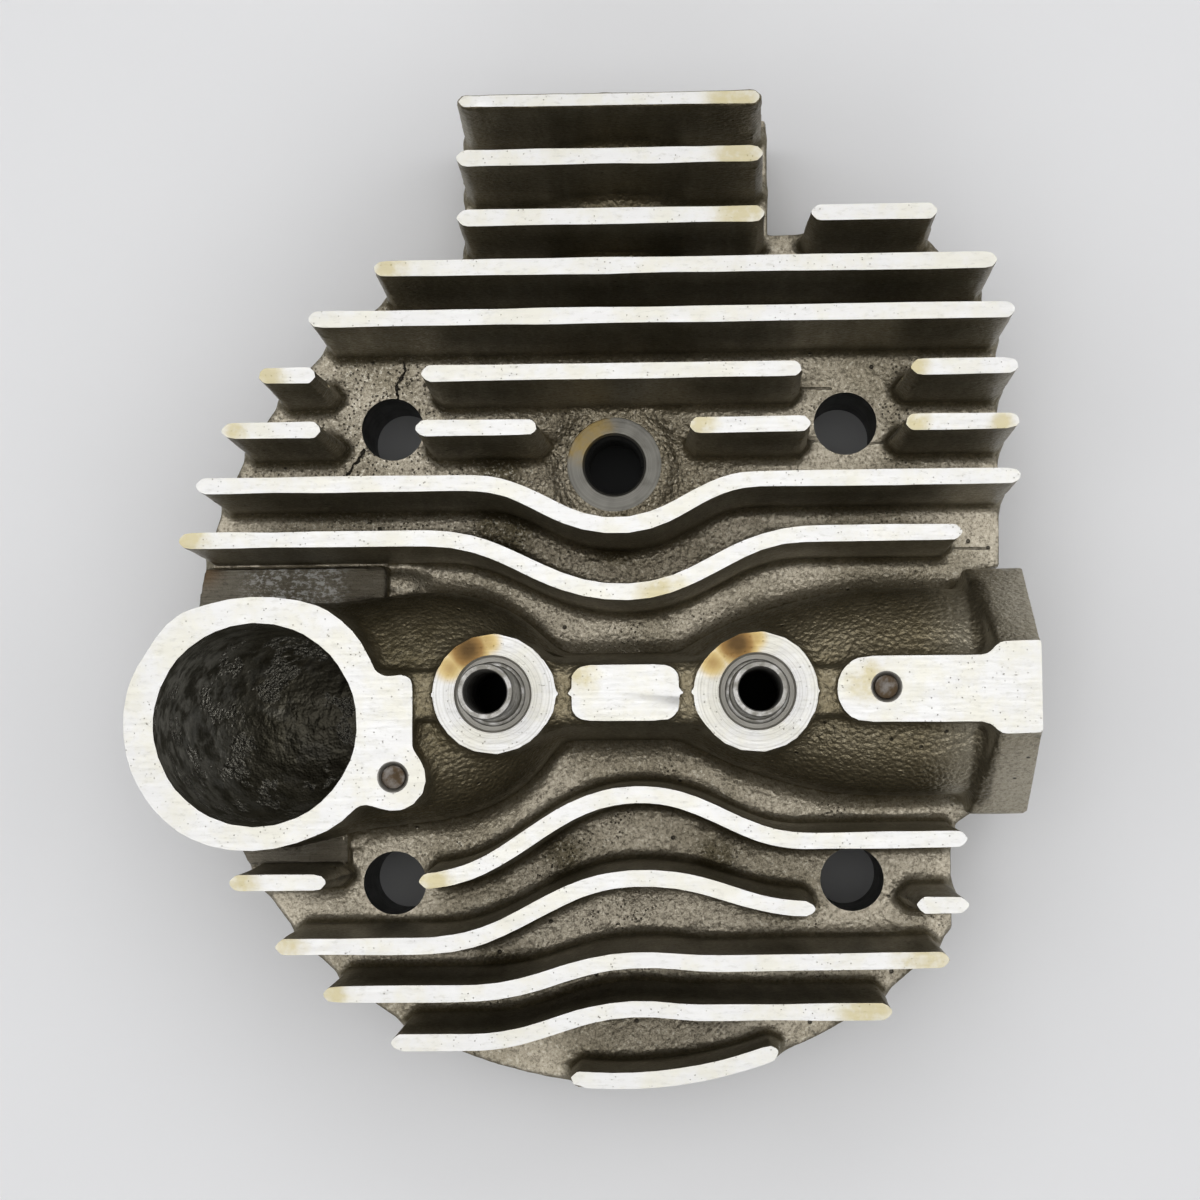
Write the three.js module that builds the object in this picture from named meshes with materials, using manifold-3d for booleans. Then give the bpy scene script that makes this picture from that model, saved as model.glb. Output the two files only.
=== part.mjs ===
// Cylinder head of a small air-cooled overhead-valve engine, as a bare machined casting
// with its pressed-in valve guides, valve seats and dowels.
// Millimetres, +Z up. Shapes are laid out from the cylinder axis on the gasket face, and
// the finished group is moved so that its origin is under the middle of its outer box.

import * as THREE from 'three';
import { mergeVertices } from 'three/addons/utils/BufferGeometryUtils.js';
import Module from 'manifold-3d';

// ---- heights above the gasket face ----
const FLOOR_Z = 32; // floor between the fins
const TOP_Z = 72; // machined plane of fins, bosses and pads
const RIDGE_Z = 70.5; // cast centre ridge, just under the machined plane
const PORT_Z = 40.5; // middle of both port passages
const CHAMBER_Z = 15; // flat roof of the combustion chamber
const BURY = 2; // depth that an added shape reaches into the metal below it
const CLEAR = 4; // distance that a cutter runs past a face

// ---- base plate, as seen from above ----
const RIM_R = 99; // round rim about the cylinder axis
const NORTH_Y = 124.6; // far edge of the fin block
const BLOCK_WEST_X = -35.8;
const BLOCK_EAST_X = 35.6;
const EAST_X = 88; // straight edge right of the fins
const SHOULDER_X = 75.6; // straight edge below the intake flange

// ---- fins ----
const FIN_TOP = 3.5; // thickness at the machined top
const FIN_ROOT = 5.4; // thickness at the floor
const FIN_END_DRAFT = 1.2; // growth of each fin end from top to floor
const FIN_TIP_R = 97.9; // fin ends follow the rim at this radius
const FIN_EAST_X = 87.8; // right ends of the long fins
const FIN_SHORT_X = 63.8; // inner ends of the short fins beside the stud holes
const FIN_SHOULDER_X = 74.9; // right ends of the fins above and below the intake flange
const FIN_SHORT_ENDS = { f: 64.4, g: 62.9, left: 64.8 }; // inner ends of the other short fins
const FIN_ROWS = { a: 119.4, b: 106.9, c: 93.7, d: 82.8, e: 71.9, f: 59.7, g: 47.7, h: 35.7, i: 23.8 };
const RIM_FIN = { radius: 93.1, from: -96.6, to: -68.7, thickness: 3.2, steps: 8 }; // degrees
const WAVE_STEPS = 7; // segments of each half wave

// ---- bores ----
const STUD_PITCH = 105;
const STUD_R = 7.25;
const CHAMBER_R = 52;
const CHAMBER_ROOF_R = 51;
const GASKET_R = 86; // machined gasket face; the rim outside it is cast and set back
const RIM_SETBACK = 2;
const PLUG = { x: -1, y: 43.5, r: 6.9, spotR: 10.9, spotZ: 32.4 };
const GAP = 0.3; // clearance kept between separate pieces

// ---- valves ----
const BOSS_R = 13;
const POCKET = { r: 8.4, floorR: 7.3, depth: 1.1 }; // bevelled mouth of a guide bore
const GUIDE = { r: 7, topR: 5.9, bore: 4.5, mouth: 4.8, bottomZ: 49, shoulderZ: 70.2, topZ: 94 };
const GUIDE_GROOVE = { depth: 0.35, width: 1.1, heights: [78, 84] };
const SEAT_DEPTH = 7;
const EXHAUST_VALVE = { x: -26.7, y: -10.1, seatR: 20, throat: 15.5, portR: 16.5 };
const INTAKE_VALVE = { x: 30.4, y: -10.1, seatR: 17.5, throat: 14, portR: 14.5 };

// ---- exhaust port: a round mouth in the machined plane, left of the rim ----
const EXHAUST_MOUTH = { x: -78.3, y: -16.2, r: 22.3, pocketR: 21, passageR: 19 };
const EXHAUST_POT = { r: 27, floorZ: 43 };
const EXHAUST_PAD_Z = 54;
const EXHAUST_HUMP = [[0, 26], [38.5, 26], [45.5, 24.7], [54.5, 21], [61.5, 14.5], [66.5, 8]];
const EXHAUST_HUMP_END = 69;

// ---- intake port: a flange facing +X ----
const FLANGE_X = 91.4;
const FLANGE_THICK = 9.4;
const FLANGE = { y: -9.9, tip: 9.3, waist: 27.7, waistZ: 2, halfHeight: TOP_Z - PORT_Z };
const FLANGE_BOLT = { pitch: 50, r: 3.4, depth: 9 };
const INTAKE_MOUTH_R = 17;
const INTAKE_HUMP = [[3, 7], [7, 11], [14, 15.3], [23, 18.5], [31, 21], [42, 23.2], [78, 23.7]];
const INTAKE_HUMP_START = 9; // distance of the hump's pointed end from the cylinder axis

// ---- machined pads, ridge and dowels ----
const RIDGE = { y: -10.2, width: 10.4, west: -50, east: 60 };
const WAIST_RIB = { width: 14, west: -14, east: 17 };
const TAG_PAD = { x: 1.9, y: -10.1, length: 22.9, width: 11.8, corner: 3.2 };
const INTAKE_PAD_Z = 58;
const DOWEL = { r: 2.6, holeR: 3.1, length: 11, proud: -0.6 };
const EXHAUST_DOWEL = { x: -48.4, y: -27.8 };
const INTAKE_DOWEL = { x: 58.1, y: -9.4 };

// ---- sawn-off casting gates left of the ports ----
const GATE_Z = 36;
const UPPER_GATE = { west: -97, east: -53.5, south: 8, north: 20.4 };
const LOWER_GATE = { west: -86, east: -62.5, south: -48, north: -38 };

const CIRCLE = 40; // segments of a large round
const SMALL_CIRCLE = 24;

// ---- materials ----
const castAluminium = new THREE.MeshStandardMaterial({
  name: 'cast_aluminium', color: 0x8f8a7d, roughness: 0.6, metalness: 0.7,
});
const guideSteel = new THREE.MeshStandardMaterial({
  name: 'guide_steel', color: 0x9a9a9c, roughness: 0.4, metalness: 0.9,
});
const seatSteel = new THREE.MeshStandardMaterial({
  name: 'seat_steel', color: 0x77777a, roughness: 0.45, metalness: 0.9,
});
const dowelSteel = new THREE.MeshStandardMaterial({
  name: 'dowel_steel', color: 0x8c8682, roughness: 0.4, metalness: 0.95,
});

// ---- joins and cuts ----
const wasm = await Module();
wasm.setup();

function toSolid(geometry) {
  const bare = geometry.clone();
  bare.deleteAttribute('normal');
  bare.deleteAttribute('uv');
  const merged = mergeVertices(bare, 1e-4);
  return new wasm.Manifold(new wasm.Mesh({
    numProp: 3,
    vertProperties: new Float32Array(merged.attributes.position.array),
    triVerts: new Uint32Array(merged.index.array),
  }));
}

function toMesh(solid, name, material) {
  const result = solid.getMesh();
  const geometry = new THREE.BufferGeometry();
  geometry.setAttribute('position', new THREE.BufferAttribute(result.vertProperties, 3));
  geometry.setIndex(new THREE.BufferAttribute(result.triVerts, 1));
  geometry.computeVertexNormals();
  const mesh = new THREE.Mesh(geometry, material);
  mesh.name = name;
  return mesh;
}

function join(solids) {
  return solids.reduce((whole, solid) => whole.add(solid));
}

// ---- basic shapes ----
function prism(shape, lowZ, highZ, curveSegments = 8) {
  const geometry = new THREE.ExtrudeGeometry(shape, {
    depth: highZ - lowZ, bevelEnabled: false, curveSegments,
  });
  geometry.translate(0, 0, lowZ);
  return toSolid(geometry);
}

function polygon(points) {
  return new THREE.Shape(points.map(([x, y]) => new THREE.Vector2(x, y)));
}

// A prism whose outline shrinks from the lower list of points to the upper one.
function draftedPrism(lower, upper, lowZ, highZ) {
  const geometry = new THREE.ExtrudeGeometry(polygon(lower), {
    depth: highZ - lowZ, bevelEnabled: false,
  });
  const position = geometry.attributes.position;
  for (let i = 0; i < position.count; i += 1) {
    if (position.getZ(i) > 0) {
      const corner = lower.findIndex(([x, y]) => (
        Math.hypot(x - position.getX(i), y - position.getY(i)) < 1e-3));
      position.setXY(i, upper[corner][0], upper[corner][1]);
    }
  }
  geometry.translate(0, 0, lowZ);
  return toSolid(geometry);
}

function box(west, east, south, north, lowZ, highZ) {
  const geometry = new THREE.BoxGeometry(east - west, north - south, highZ - lowZ);
  geometry.translate((west + east) / 2, (south + north) / 2, (lowZ + highZ) / 2);
  return toSolid(geometry);
}

function post(x, y, lowR, highR, lowZ, highZ, segments = SMALL_CIRCLE) {
  const geometry = new THREE.CylinderGeometry(highR, lowR, highZ - lowZ, segments);
  geometry.rotateX(Math.PI / 2);
  geometry.translate(x, y, (lowZ + highZ) / 2);
  return toSolid(geometry);
}

function ball(x, y, z, r) {
  const geometry = new THREE.SphereGeometry(r, SMALL_CIRCLE, 14);
  geometry.translate(x, y, z);
  return toSolid(geometry);
}

// A ring or stepped tube about a vertical line; the profile closes on itself.
function turned(profile, x, y, segments = CIRCLE) {
  const points = [...profile, profile[0]].map(([r, z]) => new THREE.Vector2(r, z));
  const geometry = new THREE.LatheGeometry(points, segments);
  geometry.rotateX(Math.PI / 2);
  geometry.translate(x, y, 0);
  return toSolid(geometry);
}

// A body of revolution about a level line that starts at (x, y, z) and heads along angle.
// The profile is [distance along the line, radius] and starts and ends on the line.
function spindle(profile, x, y, z, angle) {
  const points = profile.map(([along, r]) => new THREE.Vector2(r, along));
  const geometry = new THREE.LatheGeometry(points, CIRCLE);
  geometry.rotateZ(-Math.PI / 2);
  geometry.rotateZ(angle);
  geometry.translate(x, y, z);
  return toSolid(geometry);
}

// ---- fins ----
function rimX(y) {
  return Math.sqrt(FIN_TIP_R ** 2 - y ** 2);
}

// Centre line of a half wave from one level to another, flat at both ends.
function halfWave(from, to, handle = 0.43) {
  const reach = (to[0] - from[0]) * handle;
  return new THREE.CubicBezierCurve(
    new THREE.Vector2(from[0], from[1]),
    new THREE.Vector2(from[0] + reach, from[1]),
    new THREE.Vector2(to[0] - reach, to[1]),
    new THREE.Vector2(to[0], to[1]),
  ).getPoints(WAVE_STEPS);
}

// Centre line through one wave; start and end are the straight run's ends, where there is one.
function waveLine(foot, apex, farFoot, { start, end }) {
  const wave = [...halfWave(foot, apex), ...halfWave(apex, farFoot).slice(1)];
  return [...(start ? [start] : []), ...wave.map((p) => [p.x, p.y]), ...(end ? [end] : [])];
}

// Outline of a fin of the given thickness around its centre line, with blunt pointed ends.
function finOutline(line, thickness, extra) {
  const half = thickness / 2;
  const left = [];
  const right = [];
  line.forEach(([x, y], i) => {
    const before = line[Math.max(i - 1, 0)];
    const after = line[Math.min(i + 1, line.length - 1)];
    const run = Math.hypot(after[0] - before[0], after[1] - before[1]);
    const dx = (after[0] - before[0]) / run;
    const dy = (after[1] - before[1]) / run;
    const isStart = i === 0;
    const isEnd = i === line.length - 1;
    let along = 0;
    if (isStart) along = half * 0.6 - extra;
    if (isEnd) along = extra - half * 0.6;
    left.push([x + dx * along - dy * half, y + dy * along + dx * half]);
    right.push([x + dx * along + dy * half, y + dy * along - dx * half]);
    if (isStart) left.unshift([x - dx * extra, y - dy * extra]);
    if (isEnd) left.push([x + dx * extra, y + dy * extra]);
  });
  return [...left, ...right.reverse()];
}

function fin(line, topThickness = FIN_TOP) {
  const root = topThickness + FIN_ROOT - FIN_TOP;
  return draftedPrism(
    finOutline(line, root, FIN_END_DRAFT),
    finOutline(line, topThickness, 0),
    FLOOR_Z - BURY,
    TOP_Z,
  );
}

function level(y, west, east) {
  return [[west, y], [east, y]];
}

function finLines() {
  const rows = FIN_ROWS;
  return [
    level(rows.a, -33.8, 33),
    level(rows.b, -33.8, 33.1),
    level(rows.c, -33.8, 33.3),
    level(rows.c, 43.3, 70.8),
    level(rows.d, -rimX(rows.d), 83.4),
    level(rows.e, -rimX(rows.e), 87.2),
    level(rows.f, -rimX(rows.f), -FIN_SHORT_ENDS.left),
    level(rows.f, -41.8, 41.1),
    level(rows.f, FIN_SHORT_ENDS.f, FIN_EAST_X),
    level(rows.g, -rimX(rows.g), -FIN_SHORT_X),
    level(rows.g, -43.2, -16.4),
    level(rows.g, 16.3, 42.7),
    level(rows.g, FIN_SHORT_ENDS.g, FIN_EAST_X),
    waveLine([-31.5, rows.h], [0.4, 26], [31.5, 35.8], {
      start: [-rimX(rows.h), rows.h], end: [FIN_EAST_X, 35.8],
    }),
    waveLine([-41, rows.i], [1.8, 11.6], [42, rows.i], {
      start: [-rimX(rows.i), rows.i], end: [FIN_SHOULDER_X, rows.i],
    }),
    level(-50.3, -rimX(-50.3), -62.9),
    waveLine([-43, -50.3], [4.4, -32], [41, -42.3], { end: [FIN_SHOULDER_X, -42.1] }),
    waveLine([-42, -64.1], [5, -49.9], [42.3, -56.8], { start: [-rimX(-64.1), -64.1] }),
    level(-56.2, FIN_SHORT_X, FIN_SHOULDER_X),
    waveLine([-33, -74.3], [5, -67.4], [22, -68.3], {
      start: [-rimX(-74.3), -74.3], end: [rimX(-67.8), -67.8],
    }),
    waveLine([-32, -84.7], [4.5, -77.8], [18, -78.7], {
      start: [-rimX(-84.7), -84.7], end: [rimX(-78.7), -78.7],
    }),
  ];
}

// The lowest fin is a short arc that follows the rim.
function rimFinLine() {
  const { radius, from, to, steps } = RIM_FIN;
  return Array.from({ length: steps + 1 }, (_, i) => {
    const angle = THREE.MathUtils.degToRad(from + ((to - from) * i) / steps);
    return [radius * Math.cos(angle), radius * Math.sin(angle)];
  });
}

// ---- outlines ----
function plateShape() {
  const lowerEnd = Math.atan2(-Math.sqrt(RIM_R ** 2 - SHOULDER_X ** 2), SHOULDER_X);
  const upperEnd = Math.acos(BLOCK_WEST_X / RIM_R);
  const shape = new THREE.Shape();
  shape.moveTo(BLOCK_WEST_X, NORTH_Y);
  shape.lineTo(BLOCK_WEST_X, RIM_R * Math.sin(upperEnd));
  shape.absarc(0, 0, RIM_R, upperEnd, lowerEnd + 2 * Math.PI, false);
  shape.lineTo(SHOULDER_X, -41);
  shape.lineTo(FLANGE_X - FLANGE_THICK, -37);
  shape.lineTo(FLANGE_X - FLANGE_THICK, 17.5);
  shape.lineTo(EAST_X, 18.5);
  shape.lineTo(EAST_X, 70);
  shape.lineTo(84.7, 81);
  shape.lineTo(76, 92);
  shape.lineTo(70, 97.4);
  shape.lineTo(BLOCK_EAST_X, 97.4);
  shape.lineTo(BLOCK_EAST_X, NORTH_Y);
  return shape;
}

// Machined rim of the exhaust mouth, with an ear on its right side and a lobe for the dowel.
function exhaustPadShape() {
  const shape = new THREE.Shape();
  shape.moveTo(-107, -16);
  shape.bezierCurveTo(-107, -9, -104.5, -3.5, -101, 0.3);
  shape.bezierCurveTo(-99, 4.5, -96, 9, -88, 9.3);
  shape.bezierCurveTo(-82, 11, -72, 11.2, -66, 9.9);
  shape.bezierCurveTo(-60, 8, -55.5, 3, -53.4, -2);
  shape.bezierCurveTo(-53, -5, -51, -6.4, -48, -5.9);
  shape.bezierCurveTo(-46, -5.6, -44.2, -6, -44.1, -8);
  shape.lineTo(-44.2, -20.9);
  shape.bezierCurveTo(-44, -23, -41.2, -24.6, -41.2, -28.1);
  shape.bezierCurveTo(-41.2, -32.5, -44.5, -35.1, -48.4, -35.1);
  shape.bezierCurveTo(-52, -35, -54.5, -32.4, -57, -34.4);
  shape.bezierCurveTo(-59, -36, -60, -38.3, -64, -39);
  shape.lineTo(-80, -42.3);
  shape.bezierCurveTo(-95, -44.5, -107, -31, -107, -16);
  return shape;
}

function intakePadShape() {
  const shape = new THREE.Shape();
  shape.moveTo(FLANGE_X - 2, -0.4);
  shape.lineTo(84.6, -0.4);
  shape.bezierCurveTo(81, -0.4, 81, -2.8, 78, -2.8);
  shape.lineTo(53, -2.8);
  shape.bezierCurveTo(45.6, -4.5, 45.6, -15.3, 53, -17);
  shape.lineTo(78, -17);
  shape.bezierCurveTo(81, -17, 81, -19, 84.6, -19);
  shape.lineTo(FLANGE_X - 2, -19);
  return shape;
}

function tagPadShape() {
  const west = TAG_PAD.x - TAG_PAD.length / 2;
  const east = TAG_PAD.x + TAG_PAD.length / 2;
  const south = TAG_PAD.y - TAG_PAD.width / 2;
  const north = TAG_PAD.y + TAG_PAD.width / 2;
  const corner = TAG_PAD.corner;
  const shape = new THREE.Shape();
  shape.moveTo(west + corner, south);
  shape.absarc(east - corner, south + corner, corner, -Math.PI / 2, 0, false);
  shape.absarc(east - corner, north - corner, corner, 0, Math.PI / 2, false);
  shape.absarc(west + corner, north - corner, corner, Math.PI / 2, Math.PI, false);
  shape.absarc(west + corner, south + corner, corner, Math.PI, 1.5 * Math.PI, false);
  return shape;
}

// ---- exhaust side ----
const exhaustRun = new THREE.Vector2(
  EXHAUST_VALVE.x - EXHAUST_MOUTH.x,
  EXHAUST_VALVE.y - EXHAUST_MOUTH.y,
);

function exhaustBody() {
  const { x, y } = EXHAUST_MOUTH;
  const hump = [[0, 0], ...EXHAUST_HUMP, [EXHAUST_HUMP_END, 0]];
  return join([
    prism(exhaustPadShape(), EXHAUST_PAD_Z, TOP_Z, 6),
    post(x, y, EXHAUST_POT.r, EXHAUST_POT.r, EXHAUST_POT.floorZ, TOP_Z - CLEAR, CIRCLE),
    ball(x, y, EXHAUST_POT.floorZ, EXHAUST_POT.r),
    spindle(hump, x, y, PORT_Z, exhaustRun.angle()),
  ]);
}

function exhaustPassage() {
  const { x, y, r, pocketR, passageR } = EXHAUST_MOUTH;
  const run = exhaustRun.length();
  const bore = [[0, 0], [0, passageR], [run, EXHAUST_VALVE.portR], [run, 0]];
  return join([
    post(x, y, pocketR, r, PORT_Z + CLEAR, TOP_Z + CLEAR, CIRCLE),
    ball(x, y, PORT_Z + CLEAR, pocketR),
    spindle(bore, x, y, PORT_Z, exhaustRun.angle()),
    ball(EXHAUST_VALVE.x, EXHAUST_VALVE.y, PORT_Z, EXHAUST_VALVE.portR),
    valveThroat(EXHAUST_VALVE),
  ]);
}

// ---- intake side ----
function intakeFlange() {
  const { y, tip, waist, waistZ, halfHeight } = FLANGE;
  const half = [[tip, halfHeight], [waist, waistZ], [waist, -waistZ], [tip, -halfHeight]];
  const outline = [...half, ...half.map(([a, b]) => [-a, -b])];
  const geometry = new THREE.ExtrudeGeometry(polygon(outline.reverse()), {
    depth: FLANGE_THICK, bevelEnabled: false,
  });
  geometry.rotateX(Math.PI / 2);
  geometry.rotateZ(Math.PI / 2);
  geometry.translate(FLANGE_X - FLANGE_THICK, y, PORT_Z);
  return toSolid(geometry);
}

function intakeBody() {
  const hump = [[0, 0], ...INTAKE_HUMP, [INTAKE_HUMP[INTAKE_HUMP.length - 1][0], 0]];
  return join([
    intakeFlange(),
    spindle(hump, INTAKE_HUMP_START, FLANGE.y, PORT_Z, 0),
    prism(intakePadShape(), INTAKE_PAD_Z, TOP_Z, 5),
  ]);
}

function intakePassage() {
  const { x, y, portR } = INTAKE_VALVE;
  const run = FLANGE_X + CLEAR - x;
  const bore = [[0, 0], [0, portR], [run, INTAKE_MOUTH_R], [run, 0]];
  return join([
    spindle(bore, x, y, PORT_Z, 0),
    ball(x, y, PORT_Z, portR),
    valveThroat(INTAKE_VALVE),
  ]);
}

function flangeBoltHoles() {
  return join([-1, 1].map((side) => {
    const hole = [[0, 0], [0, FLANGE_BOLT.r], [FLANGE_BOLT.depth + CLEAR, FLANGE_BOLT.r],
      [FLANGE_BOLT.depth + CLEAR, 0]];
    const z = PORT_Z + (side * FLANGE_BOLT.pitch) / 2;
    return spindle(hole, FLANGE_X - FLANGE_BOLT.depth, FLANGE.y, z, 0);
  }));
}

// ---- valves ----
function valveThroat(valve) {
  return post(valve.x, valve.y, valve.throat, valve.throat, CHAMBER_Z + BURY, PORT_Z);
}

function seatPocket(valve) {
  const r = valve.seatR + GAP;
  return post(valve.x, valve.y, r, r, CHAMBER_Z - CLEAR, CHAMBER_Z + SEAT_DEPTH + GAP, CIRCLE);
}

function guideBore(valve) {
  const r = GUIDE.r + GAP;
  return join([
    post(valve.x, valve.y, r, r, PORT_Z, TOP_Z),
    post(valve.x, valve.y, POCKET.floorR, POCKET.r, TOP_Z - POCKET.depth, TOP_Z, CIRCLE),
    post(valve.x, valve.y, POCKET.r, POCKET.r, TOP_Z, TOP_Z + CLEAR, CIRCLE),
  ]);
}

function valveGuide(valve, name) {
  const grooves = GUIDE_GROOVE.heights.flatMap((z) => [
    [GUIDE.topR, z],
    [GUIDE.topR - GUIDE_GROOVE.depth, z + GUIDE_GROOVE.depth],
    [GUIDE.topR - GUIDE_GROOVE.depth, z + GUIDE_GROOVE.width - GUIDE_GROOVE.depth],
    [GUIDE.topR, z + GUIDE_GROOVE.width],
  ]);
  const profile = [
    [GUIDE.bore, GUIDE.bottomZ],
    [GUIDE.r - 1.5, GUIDE.bottomZ],
    [GUIDE.r, GUIDE.bottomZ + 4],
    [GUIDE.r, GUIDE.shoulderZ],
    [GUIDE.topR, GUIDE.shoulderZ + 0.6],
    ...grooves,
    [GUIDE.topR, GUIDE.topZ - 0.6],
    [GUIDE.topR - 0.3, GUIDE.topZ],
    [GUIDE.mouth, GUIDE.topZ],
    [GUIDE.bore, GUIDE.topZ - 0.6],
  ];
  return toMesh(turned(profile, valve.x, valve.y, 28), name, guideSteel);
}

function valveSeat(valve, name) {
  const profile = [
    [valve.throat, CHAMBER_Z + SEAT_DEPTH],
    [valve.throat, CHAMBER_Z + 2.6],
    [valve.seatR - 1.6, CHAMBER_Z],
    [valve.seatR, CHAMBER_Z],
    [valve.seatR, CHAMBER_Z + SEAT_DEPTH],
  ];
  return toMesh(turned(profile, valve.x, valve.y), name, seatSteel);
}

// ---- dowels ----
function dowelHole(place) {
  return post(place.x, place.y, DOWEL.holeR, DOWEL.holeR, TOP_Z - DOWEL.length - GAP, TOP_Z + CLEAR);
}

function dowel(place, name) {
  const geometry = new THREE.LatheGeometry([
    new THREE.Vector2(0, 0),
    new THREE.Vector2(DOWEL.r, 0),
    new THREE.Vector2(DOWEL.r, DOWEL.length + DOWEL.proud - 0.4),
    new THREE.Vector2(DOWEL.r - 0.4, DOWEL.length + DOWEL.proud),
    new THREE.Vector2(0, DOWEL.length + DOWEL.proud),
  ], 20);
  geometry.rotateX(Math.PI / 2);
  geometry.translate(place.x, place.y, TOP_Z - DOWEL.length);
  return toMesh(toSolid(geometry), name, dowelSteel);
}

// ---- casting ----
function studHoles() {
  const reach = STUD_PITCH / 2;
  const corners = [[-1, -1], [-1, 1], [1, -1], [1, 1]];
  return join(corners.map(([i, j]) => (
    post(i * reach, j * reach, STUD_R, STUD_R, -CLEAR, TOP_Z + CLEAR))));
}

function rimRelief() {
  const profile = [[GASKET_R, -CLEAR], [2 * RIM_R, -CLEAR], [2 * RIM_R, RIM_SETBACK],
    [GASKET_R, RIM_SETBACK]];
  return turned(profile, 0, 0, 64);
}

function plugHole() {
  return join([
    post(PLUG.x, PLUG.y, PLUG.r, PLUG.r, 0, TOP_Z),
    post(PLUG.x, PLUG.y, PLUG.spotR, PLUG.spotR, PLUG.spotZ, TOP_Z, CIRCLE),
  ]);
}

function centreRidge() {
  const { y, width, west, east } = RIDGE;
  return join([
    box(west, east, y - width / 2, y + width / 2, EXHAUST_PAD_Z, RIDGE_Z),
    box(WAIST_RIB.west, WAIST_RIB.east, y - WAIST_RIB.width / 2, y + WAIST_RIB.width / 2,
      FLOOR_Z - BURY, RIDGE_Z - 1),
    prism(tagPadShape(), EXHAUST_PAD_Z, TOP_Z, 4),
  ]);
}

function gates() {
  const rimCut = post(0, 0, FIN_TIP_R, FIN_TIP_R, 0, TOP_Z, 72);
  return join([UPPER_GATE, LOWER_GATE].map((gate) => (
    box(gate.west, gate.east, gate.south, gate.north, FLOOR_Z - BURY, GATE_Z).intersect(rimCut))));
}

function headCasting() {
  const metal = join([
    prism(plateShape(), 0, FLOOR_Z, 40),
    ...finLines().map((line) => fin(line)),
    fin(rimFinLine(), RIM_FIN.thickness),
    post(PLUG.x, PLUG.y, PLUG.spotR + 2, PLUG.spotR + 1, FLOOR_Z - BURY, PLUG.spotZ, CIRCLE),
    exhaustBody(),
    intakeBody(),
    centreRidge(),
    gates(),
    ...[EXHAUST_VALVE, INTAKE_VALVE].map((valve) => (
      post(valve.x, valve.y, BOSS_R + 1, BOSS_R, PORT_Z, TOP_Z, CIRCLE))),
  ]);
  const voids = join([
    post(0, 0, CHAMBER_R, CHAMBER_ROOF_R, -CLEAR, CHAMBER_Z, 64),
    rimRelief(),
    studHoles(),
    plugHole(),
    exhaustPassage(),
    intakePassage(),
    flangeBoltHoles(),
    ...[EXHAUST_VALVE, INTAKE_VALVE].flatMap((valve) => [seatPocket(valve), guideBore(valve)]),
    ...[EXHAUST_DOWEL, INTAKE_DOWEL].map(dowelHole),
  ]);
  return toMesh(metal.subtract(voids), 'head_casting', castAluminium);
}

// ---- assembly ----
const cylinderHead = new THREE.Group();
cylinderHead.add(
  headCasting(),
  valveGuide(EXHAUST_VALVE, 'exhaust_valve_guide'),
  valveGuide(INTAKE_VALVE, 'intake_valve_guide'),
  valveSeat(EXHAUST_VALVE, 'exhaust_valve_seat'),
  valveSeat(INTAKE_VALVE, 'intake_valve_seat'),
  dowel(EXHAUST_DOWEL, 'exhaust_pad_dowel'),
  dowel(INTAKE_DOWEL, 'intake_pad_dowel'),
);
const outer = new THREE.Box3().setFromObject(cylinderHead);
cylinderHead.position.set(-(outer.min.x + outer.max.x) / 2, -(outer.min.y + outer.max.y) / 2, 0);

export default cylinderHead;
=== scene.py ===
"""Visual model of a bare air-cooled cylinder head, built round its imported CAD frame.

The casting is made as a foundry makes it. Its raw shape is a distance field in which fins,
port humps, bosses and floor flow into each other with cast fillets, and the field becomes a
mesh. Then the machining is cut into that mesh with sharp edges: the milled top plane, the
bores, the pockets and the faces. Lengths are millimetres from the cylinder axis on the
gasket face until a mesh is finished, and metres in the frame after that.
"""

import math

import bmesh
import bpy
import numpy as np
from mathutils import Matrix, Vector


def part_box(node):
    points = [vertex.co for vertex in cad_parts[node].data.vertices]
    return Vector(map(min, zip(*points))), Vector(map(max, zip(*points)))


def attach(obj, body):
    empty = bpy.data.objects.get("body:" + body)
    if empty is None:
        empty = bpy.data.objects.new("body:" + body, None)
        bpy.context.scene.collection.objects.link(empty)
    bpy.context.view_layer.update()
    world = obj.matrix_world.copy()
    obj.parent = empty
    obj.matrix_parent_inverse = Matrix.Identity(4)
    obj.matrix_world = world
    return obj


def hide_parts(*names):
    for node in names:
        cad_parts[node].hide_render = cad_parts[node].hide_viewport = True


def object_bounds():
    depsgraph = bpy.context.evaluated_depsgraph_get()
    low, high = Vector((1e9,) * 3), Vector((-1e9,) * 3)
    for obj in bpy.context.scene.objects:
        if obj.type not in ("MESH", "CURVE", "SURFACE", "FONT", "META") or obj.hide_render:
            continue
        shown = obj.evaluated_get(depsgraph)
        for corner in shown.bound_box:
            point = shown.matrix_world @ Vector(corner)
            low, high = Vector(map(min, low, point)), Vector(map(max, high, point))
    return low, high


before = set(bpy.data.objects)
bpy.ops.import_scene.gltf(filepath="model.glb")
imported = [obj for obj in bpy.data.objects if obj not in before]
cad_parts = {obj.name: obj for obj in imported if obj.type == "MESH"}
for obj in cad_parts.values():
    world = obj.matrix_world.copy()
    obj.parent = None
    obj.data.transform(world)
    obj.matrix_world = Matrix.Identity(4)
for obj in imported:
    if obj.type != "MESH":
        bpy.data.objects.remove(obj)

import openvdb
from mathutils import Matrix, Vector

CAD_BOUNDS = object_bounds()
MM = 0.001
SHARP_EDGE = math.radians(38)  # edges that turn by more than this are not shaded smooth

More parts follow.
